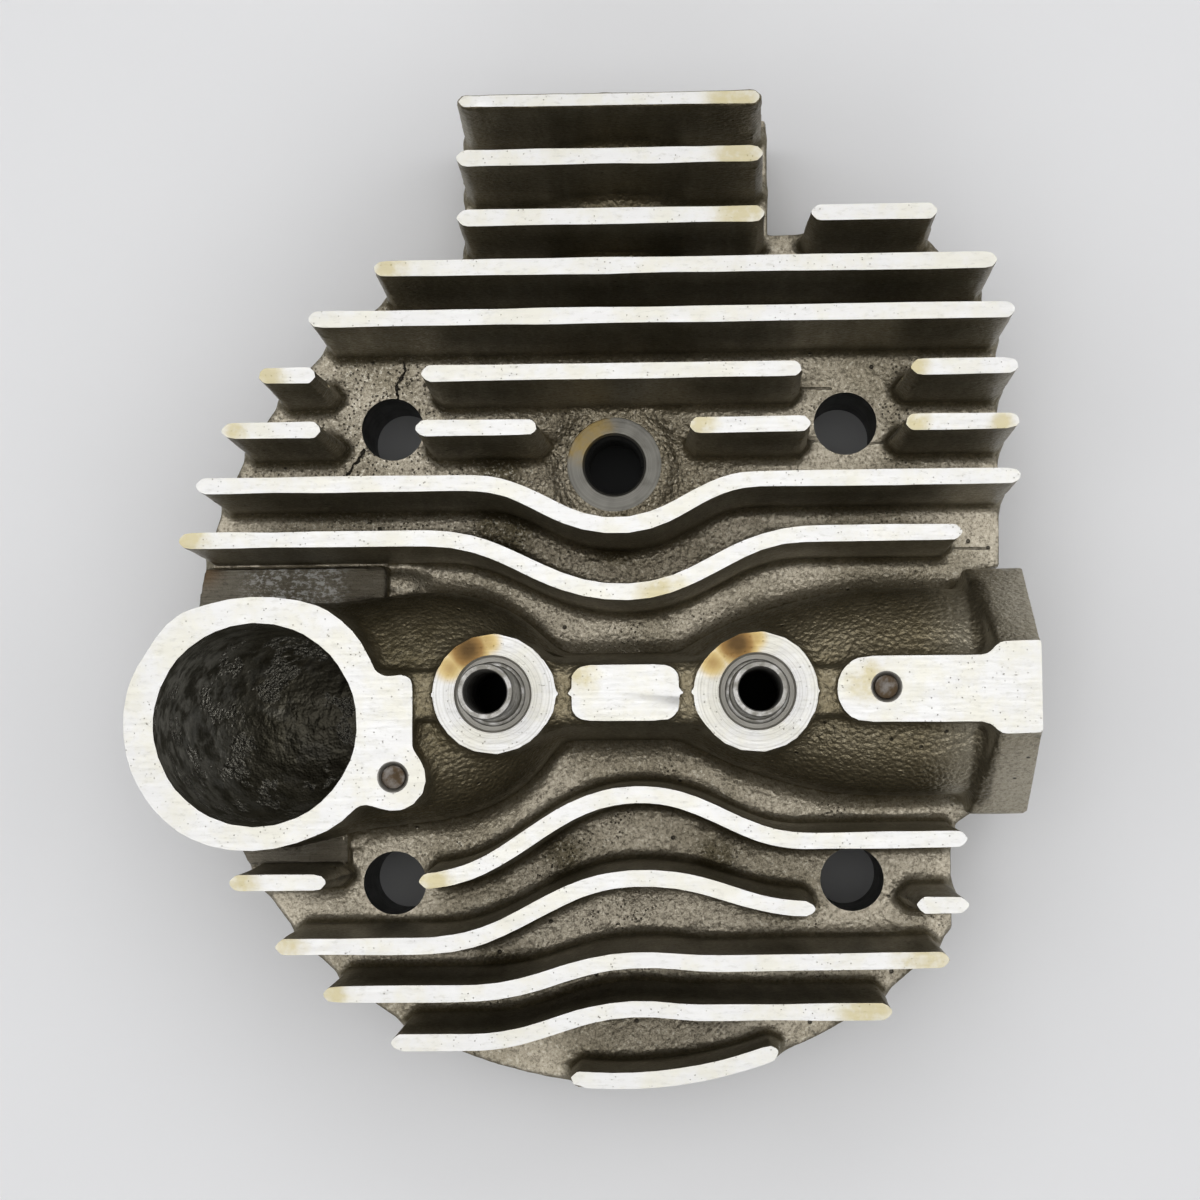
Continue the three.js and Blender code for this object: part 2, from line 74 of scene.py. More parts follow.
# ---- driving dimensions, in mm from the cylinder axis ----
WEST_REACH = 107.0  # from the cylinder axis to the left edge of the exhaust mouth
NORTH_REACH = 124.6  # and to the far edge of the fin block
FLOOR_Z = 32.0
TOP_Z = 72.0
RIDGE_Z = 70.5
GATE_Z = 36.0
PORT_Z = 40.5
CHAMBER_Z = 15.0
RIM_R = 99.0
CHAMBER_R = 52.0
SEAT_DEPTH_Z = 22.0  # the upper end of both valve seats
GASKET_R = 86.0
RIM_SETBACK = 2.0
FIN_HALF = 1.75  # half thickness of a fin at the milled top
FIN_DRAFT = 0.024  # growth of that half thickness per mm of depth
FIN_POINT = 0.86  # 0.71 for round ends, 1 for sharp ones
FIN_TIP_R = 97.9
RIM_FIN_R = 93.1
RIM_FIN_LEAN = 0.07  # how far outwards its foot lies, per mm of depth
FIN_EAST_X = 87.8
FIN_SHOULDER_X = 74.9
STUDS = [(x, y) for x in (-52.5, 52.5) for y in (-52.5, 52.5)]
STUD_R = 7.25
PLUG = (-1.0, 43.5)
PLUG_R = 6.9
PLUG_SPOT_R = 10.9
PLUG_SPOT_Z = 32.4
BOSS_R = 13.0
POCKET_R = 8.4  # the pocket round a valve guide, in its boss
EXHAUST_VALVE = (-26.7, -10.1)
INTAKE_VALVE = (30.4, -10.1)
VALVES = (EXHAUST_VALVE, INTAKE_VALVE)
EXHAUST_MOUTH = (-78.3, -16.2)
MOUTH_R = 22.3
EXHAUST_SEAT = (20.0, 15.5)  # outside and throat radius
INTAKE_SEAT = (17.5, 14.0)
FLANGE_X = 91.4
FLANGE_THICK = 9.4
FLANGE_LEAN = 0.13  # the back's draft
FLANGE_Y = -9.9
FLANGE_BOLT_RISE = 25.0  # above and below the middle of the port
EXHAUST_DOWEL = (-48.4, -27.8)
INTAKE_DOWEL = (58.1, -9.4)
DOWELS = (EXHAUST_DOWEL, INTAKE_DOWEL)
DOWEL_HOLE_R = 3.1
DOWEL_Z = (61.0, 71.4)  # both ends of both dowels

casting_low, casting_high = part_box("head_casting")
AXIS_X = casting_low[0] / MM + WEST_REACH
AXIS_Y = casting_high[1] / MM - NORTH_REACH


# ---- studio: four softboxes round the camera, and a weak one behind it ----
FLOOR_REACH = 6  # m each way
CHAMBER_SHADE_DISC_R = 0.056  # m; painted shade: the floor's dark middle, standing for the shade inside the chamber, seen only through the head's holes
SHADED_DISC_R = 0.086  # m; the grey disc round that, painted shade under the gasket face
AMBIENT = 0.15
SOFTBOX_Z = 1.0
SOFTBOXES = (  # x, y, width, depth, power
    (-0.75, 0.05, 1.0, 1.4, 5.3),
    (0.75, 0.05, 1.0, 1.4, 5.3),
    (0, 0.75, 0.8, 0.7, 2.6),
    (0, -0.75, 0.8, 0.7, 2.6),
    (0, 0, 0.5, 0.5, 1.3),
)


TO_FRAME = Matrix.Diagonal((MM, MM, MM, 1)) @ Matrix.Translation((AXIS_X, AXIS_Y, 0))


def place(x, y, z):
    """A point given from the cylinder axis, in metres in the frame."""
    return Vector(((x + AXIS_X) * MM, (y + AXIS_Y) * MM, z * MM))


def new_object(name, data):
    piece = bpy.data.objects.new(name, data)
    bpy.context.scene.collection.objects.link(piece)
    return piece


# ---- distance fields: negative inside the metal ----
FAR = 20.0  # the distance kept where nothing has been added


def smooth_min(a, b, fillet):
    """The nearer of two distances, with a fillet where they meet."""
    if not fillet:
        return np.minimum(a, b)
    overlap = np.maximum(fillet - np.abs(a - b), 0) / fillet
    return np.minimum(a, b) - overlap * overlap * fillet / 4


def tube_distance(path, x, y, z):
    """Distance to a tube through points (x, y, z, radius)."""
    nearest = np.inf
    for (x0, y0, z0, r0), (x1, y1, z1, r1) in zip(path, path[1:]):
        ex, ey, ez = x1 - x0, y1 - y0, z1 - z0
        wx, wy, wz = x - x0, y - y0, z - z0
        along = np.clip((wx * ex + wy * ey + wz * ez) / (ex * ex + ey * ey + ez * ez), 0, 1)
        gap = np.sqrt((wx - ex * along) ** 2 + (wy - ey * along) ** 2 + (wz - ez * along) ** 2)
        nearest = np.minimum(nearest, gap - r0 - (r1 - r0) * along)
    return nearest


def line_distance(points, u, v):
    """Distance from (u, v) to an open chain of points."""
    return tube_distance([(*point, 0, 0) for point in points], u, v, 0)


def fin_distance(points, u, v):
    """Distance to an open chain, growing faster past its ends so that they come out pointed."""
    nearest = np.inf
    for (x0, y0), (x1, y1) in zip(points, points[1:]):
        length = math.hypot(x1 - x0, y1 - y0)
        ex, ey = (x1 - x0) / length, (y1 - y0) / length
        along = (u - x0) * ex + (v - y0) * ey
        across = np.abs((u - x0) * ey - (v - y0) * ex)
        past = np.maximum(np.maximum(-along, along - length), 0)
        gap = np.maximum(np.hypot(past, across), FIN_POINT * (past + across))
        nearest = np.minimum(nearest, gap)
    return nearest


def outline_distance(points, u, v):
    """Signed distance from (u, v) to a closed outline."""
    closed = [*points, points[0]]
    inside = np.zeros(np.broadcast(u, v).shape, bool)
    for (x0, y0), (x1, y1) in zip(closed, closed[1:]):
        if y0 != y1:
            inside ^= ((y0 <= v) != (y1 <= v)) & (u < (x1 - x0) * (v - y0) / (y1 - y0) + x0)
    return np.where(inside, -1, 1) * line_distance(closed, u, v)


def rounded_corner(a, b, edge):
    """Distance to the corner where two walls meet, given each wall's own; edge rounds it."""
    outside = np.hypot(np.maximum(a + edge, 0), np.maximum(b + edge, 0))
    return np.minimum(np.maximum(a, b) + edge, 0) + outside - edge


def slab_distance(u, low, high):
    """Distance to the space between two parallel planes."""
    return np.abs(u - (low + high) / 2) - (high - low) / 2


def prism(flat, along, low, high, edge=0.0):
    """Distance to a flat outline carried from low to high, with rounded edges."""
    return rounded_corner(flat, slab_distance(along, low, high), edge)


def round_distance(x, y, centre, radius):
    return np.hypot(x - centre[0], y - centre[1]) - radius


def box_distance(x, y, west, east, south, north, edge=0.0):
    """Distance to a flat rectangle with rounded corners."""
    return rounded_corner(slab_distance(x, west, east), slab_distance(y, south, north), edge)


class Field:
    """A distance field on a regular grid, in mm from the cylinder axis."""

    def __init__(self, low, high, step):
        self.low = np.array(low)
        self.step = step
        counts = np.ceil((np.array(high) - self.low) / step).astype(int) + 1
        self.axes = [(l + step * np.arange(n)).astype(np.float32) for l, n in zip(low, counts)]
        self.values = np.full(counts, FAR, np.float32)

    def window(self, low, high, margin):
        """The grid's part near a box: its slices and its three open coordinate arrays."""
        spans = []
        for axis, a, b in zip(self.axes, low, high):
            spans.append(slice(*np.searchsorted(axis, [a - margin, b + margin])))
        x, y, z = (axis[span] for axis, span in zip(self.axes, spans))
        return tuple(spans), x[:, None, None], y[None, :, None], z[None, None, :]

    def join(self, low, high, shape, fillet=0.0):
        """Adds a shape that lies between two corners."""
        span, x, y, z = self.window(low, high, fillet + 2 * self.step)
        self.values[span] = smooth_min(self.values[span], shape(x, y, z), fillet)

    def cut(self, low, high, shape, fillet=0.0):
        """Takes a shape away."""
        span, x, y, z = self.window(low, high, fillet + 2 * self.step)
        self.values[span] = -smooth_min(-self.values[span], shape(x, y, z), fillet)

    def roughen(self, spacing, depth, seed):
        """Moves the surface in and out by soft lumps about spacing mm apart."""
        counts = [int(len(axis) * self.step / spacing) + 3 for axis in self.axes]
        lumps = np.random.default_rng(seed).normal(0, depth, counts).astype(np.float32)
        for side, axis in enumerate(self.axes):
            at = (axis - axis[0]) / spacing
            cell = at.astype(int)
            part = at - cell
            part = part * part * (3 - 2 * part)
            part = part.reshape([-1 if i == side else 1 for i in range(3)])
            lumps = np.take(lumps, cell, side) * (1 - part) + np.take(lumps, cell + 1, side) * part
        self.values += lumps

    def trim(self):
        """Cuts off what the roughening pushed past the CAD model's outer box."""
        for side, shift in enumerate((AXIS_X, AXIS_Y)):
            low, high = (corner[side] / MM - shift for corner in CAD_BOUNDS)
            outside = np.maximum(low - self.axes[side], self.axes[side] - high) + 0.05
            shape = [-1 if i == side else 1 for i in range(3)]
            self.values = np.maximum(self.values, outside.reshape(shape).astype(np.float32))

    def mesh(self, name, adaptivity):
        """The field's zero surface as a mesh in metres in the frame."""
        grid = openvdb.FloatGrid(FAR)
        grid.copyFromArray(self.values)
        points, triangles, quads = grid.convertToPolygons(0.0, adaptivity)
        points = points * self.step + self.low
        points = (points + (AXIS_X, AXIS_Y, 0)) * MM
        mesh = bpy.data.meshes.new(name)
        faces = [*triangles.tolist(), *quads.tolist()]
        mesh.from_pydata(points, [], faces)
        return mesh


# ---- outlines and centre lines ----
def bezier(start, handle_a, handle_b, end, steps=8):
    """Points of a cubic curve after its start."""
    points = []
    for t in np.linspace(0, 1, steps + 1)[1:]:
        weights = ((1 - t) ** 3, 3 * t * (1 - t) ** 2, 3 * t * t * (1 - t), t ** 3)
        corners = (start, handle_a, handle_b, end)
        points.append(tuple(sum(w * c[i] for w, c in zip(weights, corners))
                            for i in range(len(start))))
    return points


def outline(start, *legs):
    """A closed outline: a leg of one point is straight, and a leg of three is a curve."""
    points = [start]
    for leg in legs:
        points.extend(bezier(points[-1], *leg) if len(leg) == 3 else leg)
    return points


def arc(radius, first, last, steps):
    """Points round the cylinder axis, between two angles in degrees."""
    angles = np.radians(np.linspace(first, last, steps + 1))
    return [(radius * math.cos(a), radius * math.sin(a)) for a in angles]


def plate_outline():
    """The plate seen from above: the round rim, the fin block and the flange's root."""
    start = math.degrees(math.acos(-35.8 / RIM_R))
    end = 360 - math.degrees(math.acos(75.6 / RIM_R))
    return [(-35.8, NORTH_REACH), *arc(RIM_R, start, end, 90), (75.6, -41),
            (FLANGE_X - FLANGE_THICK, -37), (FLANGE_X - FLANGE_THICK, 17.5), (88, 18.5), (88, 70),
            (84.7, 81), (76, 92), (70, 97.4), (35.6, 97.4), (35.6, NORTH_REACH)]


def exhaust_pad_outline():
    """The machined face round the exhaust mouth, with the lobe that holds the dowel."""
    return outline(
        (-107, -16),
        ((-107, -9), (-104.5, -3.5), (-101, 0.3)),
        ((-99, 4.5), (-96, 9), (-88, 9.3)),
        ((-82, 11), (-72, 11.2), (-66, 9.9)),
        ((-60, 8), (-55.5, 3), (-53.4, -2)),
        ((-53, -5), (-51, -6.4), (-48, -5.9)),
        ((-46, -5.6), (-44.2, -6), (-44.1, -8)),
        ((-44.2, -20.9),),
        ((-44, -23), (-41.2, -24.6), (-41.2, -28.1)),
        ((-41.2, -32.5), (-44.5, -35.1), (-48.4, -35.1)),
        ((-52, -35), (-54.5, -32.4), (-57, -34.4)),
        ((-59, -36), (-60, -38.3), (-64, -39)),
        ((-80, -42.3),),
        ((-95, -44.5), (-107, -31), (-107, -16)),
    )[:-1]


def intake_pad_outline():
    """The machined strip over the intake port, from its round end to the flange."""
    return outline(
        (FLANGE_X + 2, -0.4), ((84.6, -0.4),),
        ((81, -0.4), (81, -2.8), (78, -2.8)), ((53, -2.8),),
        ((45.6, -4.5), (45.6, -15.3), (53, -17)), ((78, -17),),
        ((81, -17), (81, -19), (84.6, -19)), ((FLANGE_X + 2, -19),),
    )


def flange_outline():
    """The intake flange seen along X, as (y, z)."""
    half = [(9.3, 31.5), (27.7, 2), (27.7, -2), (9.3, -31.5)]
    return [(FLANGE_Y + y, PORT_Z + z) for y, z in [*half, *((-y, -z) for y, z in half)]]


def rim_x(y):
    """How far a fin reaches sideways before it meets the round rim."""
    return math.sqrt(FIN_TIP_R ** 2 - y ** 2)


def level(y, west, east):
    return [(west, y), (east, y)]


def wave(foot, apex, far_foot, start=None, end=None):
    """A fin's centre line that swings from its foot to an apex and back."""
    points = [foot]
    for a, b in ((foot, apex), (apex, far_foot)):
        reach = (b[0] - a[0]) * 0.43
        points.extend(bezier(a, (a[0] + reach, a[1]), (b[0] - reach, b[1]), b, 12))
    return [*([start] if start else []), *points, *([end] if end else [])]


def fin_lines():
    """Centre lines of the fins' tops, from the far edge of the head to the near one."""
    a, b, c, d, e, f, g, h, i = 119.4, 106.9, 93.7, 82.8, 71.9, 59.7, 47.7, 35.7, 23.8
    return [
        level(a, -33.8, 33), level(b, -33.8, 33.1), level(c, -33.8, 33.3), level(c, 43.3, 70.8),
        level(d, -rim_x(d), 83.4), level(e, -rim_x(e), 87.2),
        level(f, -rim_x(f), -64.8), level(f, -41.8, 41.1), level(f, 64.4, FIN_EAST_X),
        level(g, -rim_x(g), -63.8), level(g, -43.2, -16.4), level(g, 16.3, 42.7),
        level(g, 62.9, FIN_EAST_X),
        wave((-31.5, h), (0.4, 26), (31.5, 35.8), (-rim_x(h), h), (FIN_EAST_X, 35.8)),
        wave((-41, i), (1.8, 11.6), (42, i), (-rim_x(i), i), (FIN_SHOULDER_X, i)),
        level(-50.3, -rim_x(50.3), -62.9),
        wave((-43, -50.3), (4.4, -32), (41, -42.3), end=(FIN_SHOULDER_X, -42.1)),
        wave((-42, -64.1), (5, -49.9), (42.3, -56.8), (-rim_x(64.1), -64.1)),
        level(-56.2, 63.8, FIN_SHOULDER_X),
        wave((-33, -74.3), (5, -67.4), (22, -68.3), (-rim_x(74.3), -74.3), (rim_x(67.8), -67.8)),
        wave((-32, -84.7), (4.5, -77.8), (18, -78.7), (-rim_x(84.7), -84.7), (rim_x(78.7), -78.7)),
        arc(RIM_FIN_R, -96.6, -68.7, 12),
    ]


def shortened(points, by):
    """A centre line with both ends drawn in, to leave room for the fin's tips."""
    ends = []
    for (x0, y0), (x1, y1) in ((points[0], points[1]), (points[-1], points[-2])):
        part = by / math.hypot(x1 - x0, y1 - y0)
        ends.append((x0 + (x1 - x0) * part, y0 + (y1 - y0) * part))
    return [ends[0], *points[1:-1], ends[1]]


# ---- raw casting ----
RAW_TOP_Z = 74.5  # the raw casting stands this high before the top is milled
FINE_STEP = 0.6  # the field's grid
MESH_ADAPTIVITY = 0.09  # how far flat places may be made of larger faces
SKIN = ((12.0, 0.09, 11), (3.5, 0.035, 12))  # the rough skin: spacing, depth and seed
PARTING_Y = -10.2  # the mould's parting line runs along the centre ridge


def soft_profile(points):
    """A radius profile whose corners are rounded, for np.interp."""
    s = np.linspace(points[0][0], points[-1][0], 240)
    r = np.interp(s, *zip(*points))
    width = 21
    padded = np.concatenate([np.full(width // 2, r[0]), r, np.full(width // 2, r[-1])])
    return s, np.convolve(padded, np.ones(width) / width, "valid")


def hump(origin, heading, profile, limit):
    """A port's outer wall: round above its middle, and straight down to the floor below it."""
    s, r = soft_profile(profile)
    cos, sin = math.cos(heading), math.sin(heading)

    def shape(x, y, z):
        along = (x - origin[0]) * cos + (y - origin[1]) * sin
        across = (y - origin[1]) * cos - (x - origin[0]) * sin
        body = np.hypot(across, np.maximum(z - PORT_Z, 0)) - np.interp(along, s, r)
        return np.maximum(body * 0.9, np.maximum(limit[0] - along, along - limit[1]))

    return shape


def add_plate(field):
    points = plate_outline()

    def shape(x, y, z):
        flat = outline_distance(points, x, y)
        draft = 0.03 * np.abs(z - FLOOR_Z / 2)
        return prism(flat, z, -3, FLOOR_Z, 1.2) + draft

    field.join((-101, -101, -3), (90, 126, FLOOR_Z), shape)


def rounded_top(shape):
    """The same fin with its upper edge rounded just above the milled plane."""
    return lambda x, y, z: rounded_corner(shape(x, y, z), z - TOP_Z - 0.35, 1.3)


def leaning_out(shape):
    """The same fin with its foot set outwards, towards the rim."""
    def leaning(x, y, z):
        scale = RIM_FIN_R / (RIM_FIN_R + RIM_FIN_LEAN * (TOP_Z - z))
        return shape(x * scale, y * scale, z)

    return leaning


def add_fins(field):
    lines = fin_lines()
    for number, points in enumerate(lines):
        line = shortened(points, FIN_HALF)
        xs, ys = zip(*line)

        def shape(x, y, z):
            return fin_distance(line, x, y) - FIN_HALF - FIN_DRAFT * (TOP_Z - z)

        if number == 0:
            shape = rounded_top(shape)
        if number == len(lines) - 1:
            shape = leaning_out(shape)
        low = (min(xs) - 4, min(ys) - 4, FLOOR_Z - 4)
        field.join(low, (max(xs) + 4, max(ys) + 4, RAW_TOP_Z + 2), shape, 3.2)


def pad(points, foot):
    """A raised outline that the milling plane later cuts through, as a shape to join."""
    return lambda x, y, z: prism(outline_distance(points, x, y), z, foot, TOP_Z + 8)


def add_exhaust_side(field):
    heading = math.atan2(EXHAUST_VALVE[1] - EXHAUST_MOUTH[1], EXHAUST_VALVE[0] - EXHAUST_MOUTH[0])
    profile = [(-30, 26), (38, 26), (45.5, 24.7), (54.5, 21), (61.5, 14.5), (66.5, 8), (74, -8),
               (110, -40)]
    field.join((-106, -44, FLOOR_Z - 6), (0, 14, 68),
               hump(EXHAUST_MOUTH, heading, profile, (0, 120)), 4.5)

    def pot(x, y, z):
        below = np.minimum(z - 43, 0)
        return np.sqrt((x - EXHAUST_MOUTH[0]) ** 2 + (y - EXHAUST_MOUTH[1]) ** 2 + below ** 2) - 27

    field.join((-107, -45, 15), (-50, 12, RAW_TOP_Z + 2), pot, 5.0)
    shape = pad(exhaust_pad_outline(), 57)
    field.join((-108, -45, 55), (-40, 13, RAW_TOP_Z + 2), shape, 3.0)


def add_intake_side(field):
    profile = [(-40, -30), (6, -8), (9, 0), (12, 7), (16, 11), (23, 15.3), (32, 18.5), (40, 21),
               (51, 23.2), (72, 23.7), (79, 22.2), (100, 22.2)]
    body = hump((0, FLANGE_Y), 0, profile, (-50, FLANGE_X - FLANGE_THICK))
    field.join((5, -36, FLOOR_Z - 6), (84, 16, 66), body, 4.5)
    face = flange_outline()

    def flange(x, y, z):
        leaning = x + FLANGE_LEAN * (TOP_Z - z)
        return prism(outline_distance(face, y, z), leaning, FLANGE_X - FLANGE_THICK, 120, 1.2)

    field.join((70, -39, 8), (94, 19, RAW_TOP_Z), flange, 3.0)
    shape = pad(intake_pad_outline(), 56)
    field.join((45, -20, 54), (94, 1, RAW_TOP_Z + 2), shape, 2.5)


def add_bosses(field):
    for centre in VALVES:
        def boss(x, y, z):
            return round_distance(x, y, centre, BOSS_R + 0.03 * (TOP_Z - z))

        def ears(x, y, z):
            return (np.abs(x - centre[0]) + 1.3 * np.abs(y - centre[1]) - BOSS_R - 0.6) * 0.7

        low = (centre[0] - 15, centre[1] - 15, PORT_Z)
        high = (centre[0] + 15, centre[1] + 15, RAW_TOP_Z + 2)
        field.join(low, high, boss, 3.0)
        field.join(low, high, ears, 0.2)

    def plug_boss(x, y, z):
        return prism(round_distance(x, y, PLUG, PLUG_SPOT_R + 1.5), z, 20, PLUG_SPOT_Z + 0.8, 1.0)

    field.join((PLUG[0] - 14, PLUG[1] - 14, 26), (PLUG[0] + 14, PLUG[1] + 14, 35), plug_boss, 5.0)


def add_centre_ridge(field):
    def ridge(x, y, z):
        flat = box_distance(x, y, -52, 58, PARTING_Y - 5.2, PARTING_Y + 5.2) - 0.06 * (RIDGE_Z - z)
        return prism(flat, z, 40, RIDGE_Z, 1.2)

    def waist(x, y, z):
        flat = box_distance(x, y, -16, 19, PARTING_Y - 5.6, PARTING_Y + 5.6) - 0.12 * (RIDGE_Z - z)
        return prism(flat, z, 20, RIDGE_Z - 0.8, 2.0)

    def tag_pad(x, y, z):
        flat = box_distance(x, y, -9.5, 13.3, -16, -4.2, 3.2)
        ears = np.maximum(np.abs(x - 1.9) + 1.3 * np.abs(y + 10.1) - 12.4, np.abs(y + 10.1) - 3)
        return prism(np.minimum(flat, ears), z, 60, 80)

    field.join((-52, -22, 40), (58, 2, 72), ridge, 1.2)
    field.join((-18, -24, 26), (21, 4, 72), waist, 5.0)
    field.join((-12, -18, 58), (16, -2, RAW_TOP_Z + 2), tag_pad, 1.0)


def add_block_bulge(field):
    """The floor between the three fins of the block swells over a core inside it."""
    def shape(x, y, z):
        rise = np.sqrt((x / 17) ** 2 + ((z - 24) / 18) ** 2) - 1
        return np.maximum(rise * 16, np.maximum(y - 123, 84 - y))

    field.join((-20, 84, 26), (20, 123, 44), shape, 4.0)


def exhaust_path():
    """The exhaust port from above the mouth to the chamber, as (x, y, z, radius)."""
    mouth, valve = EXHAUST_MOUTH, EXHAUST_VALVE
    bend = bezier((*mouth, 56, 22), (*mouth, 40, 21.5), (-66, -14.8, PORT_Z, 19.5),
                  (-50, -13, PORT_Z, 18.5), 8)
    turn = bezier((-40, -11.8, PORT_Z, 17.5), (-30, -10.5, PORT_Z, 16.8), (*valve, 38, 16),
                  (*valve, 26, 15.5), 6)
    return [(*mouth, 90, MOUTH_R), (*mouth, 56, 22), *bend, (-40, -11.8, PORT_Z, 17.5), *turn,
            (*valve, 5, 15.5)]


def intake_path():
    """The intake port from outside the flange to the chamber, as (x, y, z, radius)."""
    valve = INTAKE_VALVE
    turn = bezier((46, -10, PORT_Z, 15.3), (34, -10, PORT_Z, 14.8), (*valve, 38, 14.5),
                  (*valve, 26, 14), 6)
    return [(110, FLANGE_Y, PORT_Z, 17), (80, FLANGE_Y, PORT_Z, 16.8),
            (46, -10, PORT_Z, 15.3), *turn, (*valve, 5, 14)]


FLASH_LINES = (  # thin raised seams on the floor, as (x, y) chains
    [(-64.5, -48.5), (-64.3, -44.2), (-60.3, -43.8), (-59.2, -41.7), (-54.5, -41.0)],
    [(-53.2, 20.5), (-53.0, 12.0)],
)


def add_flash(field):
    """Seams left by the joints between the mould's parts."""
    for line in FLASH_LINES:
        xs, ys = zip(*line)

        def seam(x, y, z):
            return np.hypot(line_distance(line, x, y), z - FLOOR_Z + 0.7) - 1.0

        field.join((min(xs) - 1, min(ys) - 1, 30), (max(xs) + 1, max(ys) + 1, 34), seam, 0.6)

    def parting(x, y, z):
        return np.hypot(y - PARTING_Y, z - RIDGE_Z) - 0.55

    field.join((-46, -12, 69), (50, -8, 72), parting, 0.5)


GATES = (  # west, east, south and north sides, and two corners of the space they lie in
    ((-100, -53.5, 4, 20.4), (-100, 2), (-53, 21)),
    ((-90, -62.5, -48, -36), (-92, -49), (-62, -35)),
)


def add_gates(field):
    """Stubs of two sawn-off casting gates beside the exhaust port, and a lump of metal."""
    for sides, low, high in GATES:
        def stub(x, y, z):
            flat = box_distance(x, y, *sides, 0.8) + 0.04 * (z - FLOOR_Z)
            return np.maximum(prism(flat, z, 28, GATE_Z, 0.4), np.hypot(x, y) - FIN_TIP_R)

        field.join((*low, 28), (*high, GATE_Z + 1), stub, 0.8)

    def lump(x, y, z):
        return np.sqrt(((x + 50) / 1.5) ** 2 + (y - 16.5) ** 2 + (z - 31.5) ** 2) - 3.4

    field.join((-56, 12, 28), (-44, 21, 37), lump, 2.5)


def cut_ports(field):
    for path, low, high in ((exhaust_path(), (-102, -40, 5), (-8, 8, 80)),
                            (intake_path(), (14, -28, 5), (95, 9, 60))):
        field.cut(low, high, lambda x, y, z: tube_distance(path, x, y, z), 1.0)


def cut_rim_setback(field):
    """The rim outside the gasket face is left as cast and lies a little higher."""
    field.cut((-110, -101, -3), (94, 127, 2),
              lambda x, y, z: np.maximum(GASKET_R - np.hypot(x, y), z - RIM_SETBACK), 1.5)


def raw_casting():
    """The casting as it leaves the mould, its ports cored and nothing machined."""
    step = FINE_STEP
    field = Field((-110, -102, -3), (95, 128, RAW_TOP_Z + 1.5), step)
    add_plate(field)
    add_block_bulge(field)
    add_fins(field)
    add_exhaust_side(field)
    add_intake_side(field)
    add_bosses(field)
    add_centre_ridge(field)
    add_gates(field)
    add_flash(field)
    cut_ports(field)
    cut_rim_setback(field)
    for spacing, depth, seed in SKIN:
        field.roughen(spacing, depth, seed)
    field.trim()
    field.values[:, :, field.axes[2] > RAW_TOP_Z] = FAR
    return field.mesh("head_casting_visual", MESH_ADAPTIVITY)


# ---- machining ----
def lathe(name, profile, base, axis="Z", segments=128):
    """A closed turned mesh; a profile of (radius, height) that ends off the axis is a ring's."""
    corners = []
    faces = []
    rings = []
    for r, height in profile:
        turns = 1 if r == 0 else segments
        rings.append(list(range(len(corners), len(corners) + turns)))
        for i in range(turns):
            angle = 2 * math.pi * i / segments
            corners.append((r * math.cos(angle), r * math.sin(angle), height))
    if profile[0][0] and profile[-1][0]:
        rings.append(rings[0])
    for lower, upper in zip(rings, rings[1:]):
        for i in range(segments):
            j = (i + 1) % segments
            face = [lower[i % len(lower)], lower[j % len(lower)],
                    upper[j % len(upper)], upper[i % len(upper)]]
            face = list(dict.fromkeys(face))
            if len(face) > 2:
                faces.append(face)
    mesh = bpy.data.meshes.new(name)
    mesh.from_pydata(corners, [], faces)
    if axis == "X":
        mesh.transform(Matrix.Rotation(math.radians(90), 4, "Y"))
    mesh.transform(Matrix.Translation(Vector(base)))
    return mesh


def block(name, low, high):
    mesh = bpy.data.meshes.new(name)
    xs, ys, zs = zip(low, high)
    corners = [(x, y, z) for x in xs for y in ys for z in zs]
    faces = [(0, 1, 3, 2), (4, 6, 7, 5), (0, 4, 5, 1), (2, 3, 7, 6), (0, 2, 6, 4), (1, 5, 7, 3)]
    mesh.from_pydata(corners, [], faces)
    return mesh


def threaded(radius, depth, start, pitch=1.25):
    """Half of a threaded hole's profile: its thread's teeth, from start up the hole."""
    cut = 0.55 * pitch
    points = []
    for turn in range(int((depth - 1.2) / pitch)):
        z = start + turn * pitch
        points += [(radius - cut, z), (radius - cut, z + 0.2 * pitch), (radius, z + 0.6 * pitch)]
    return points


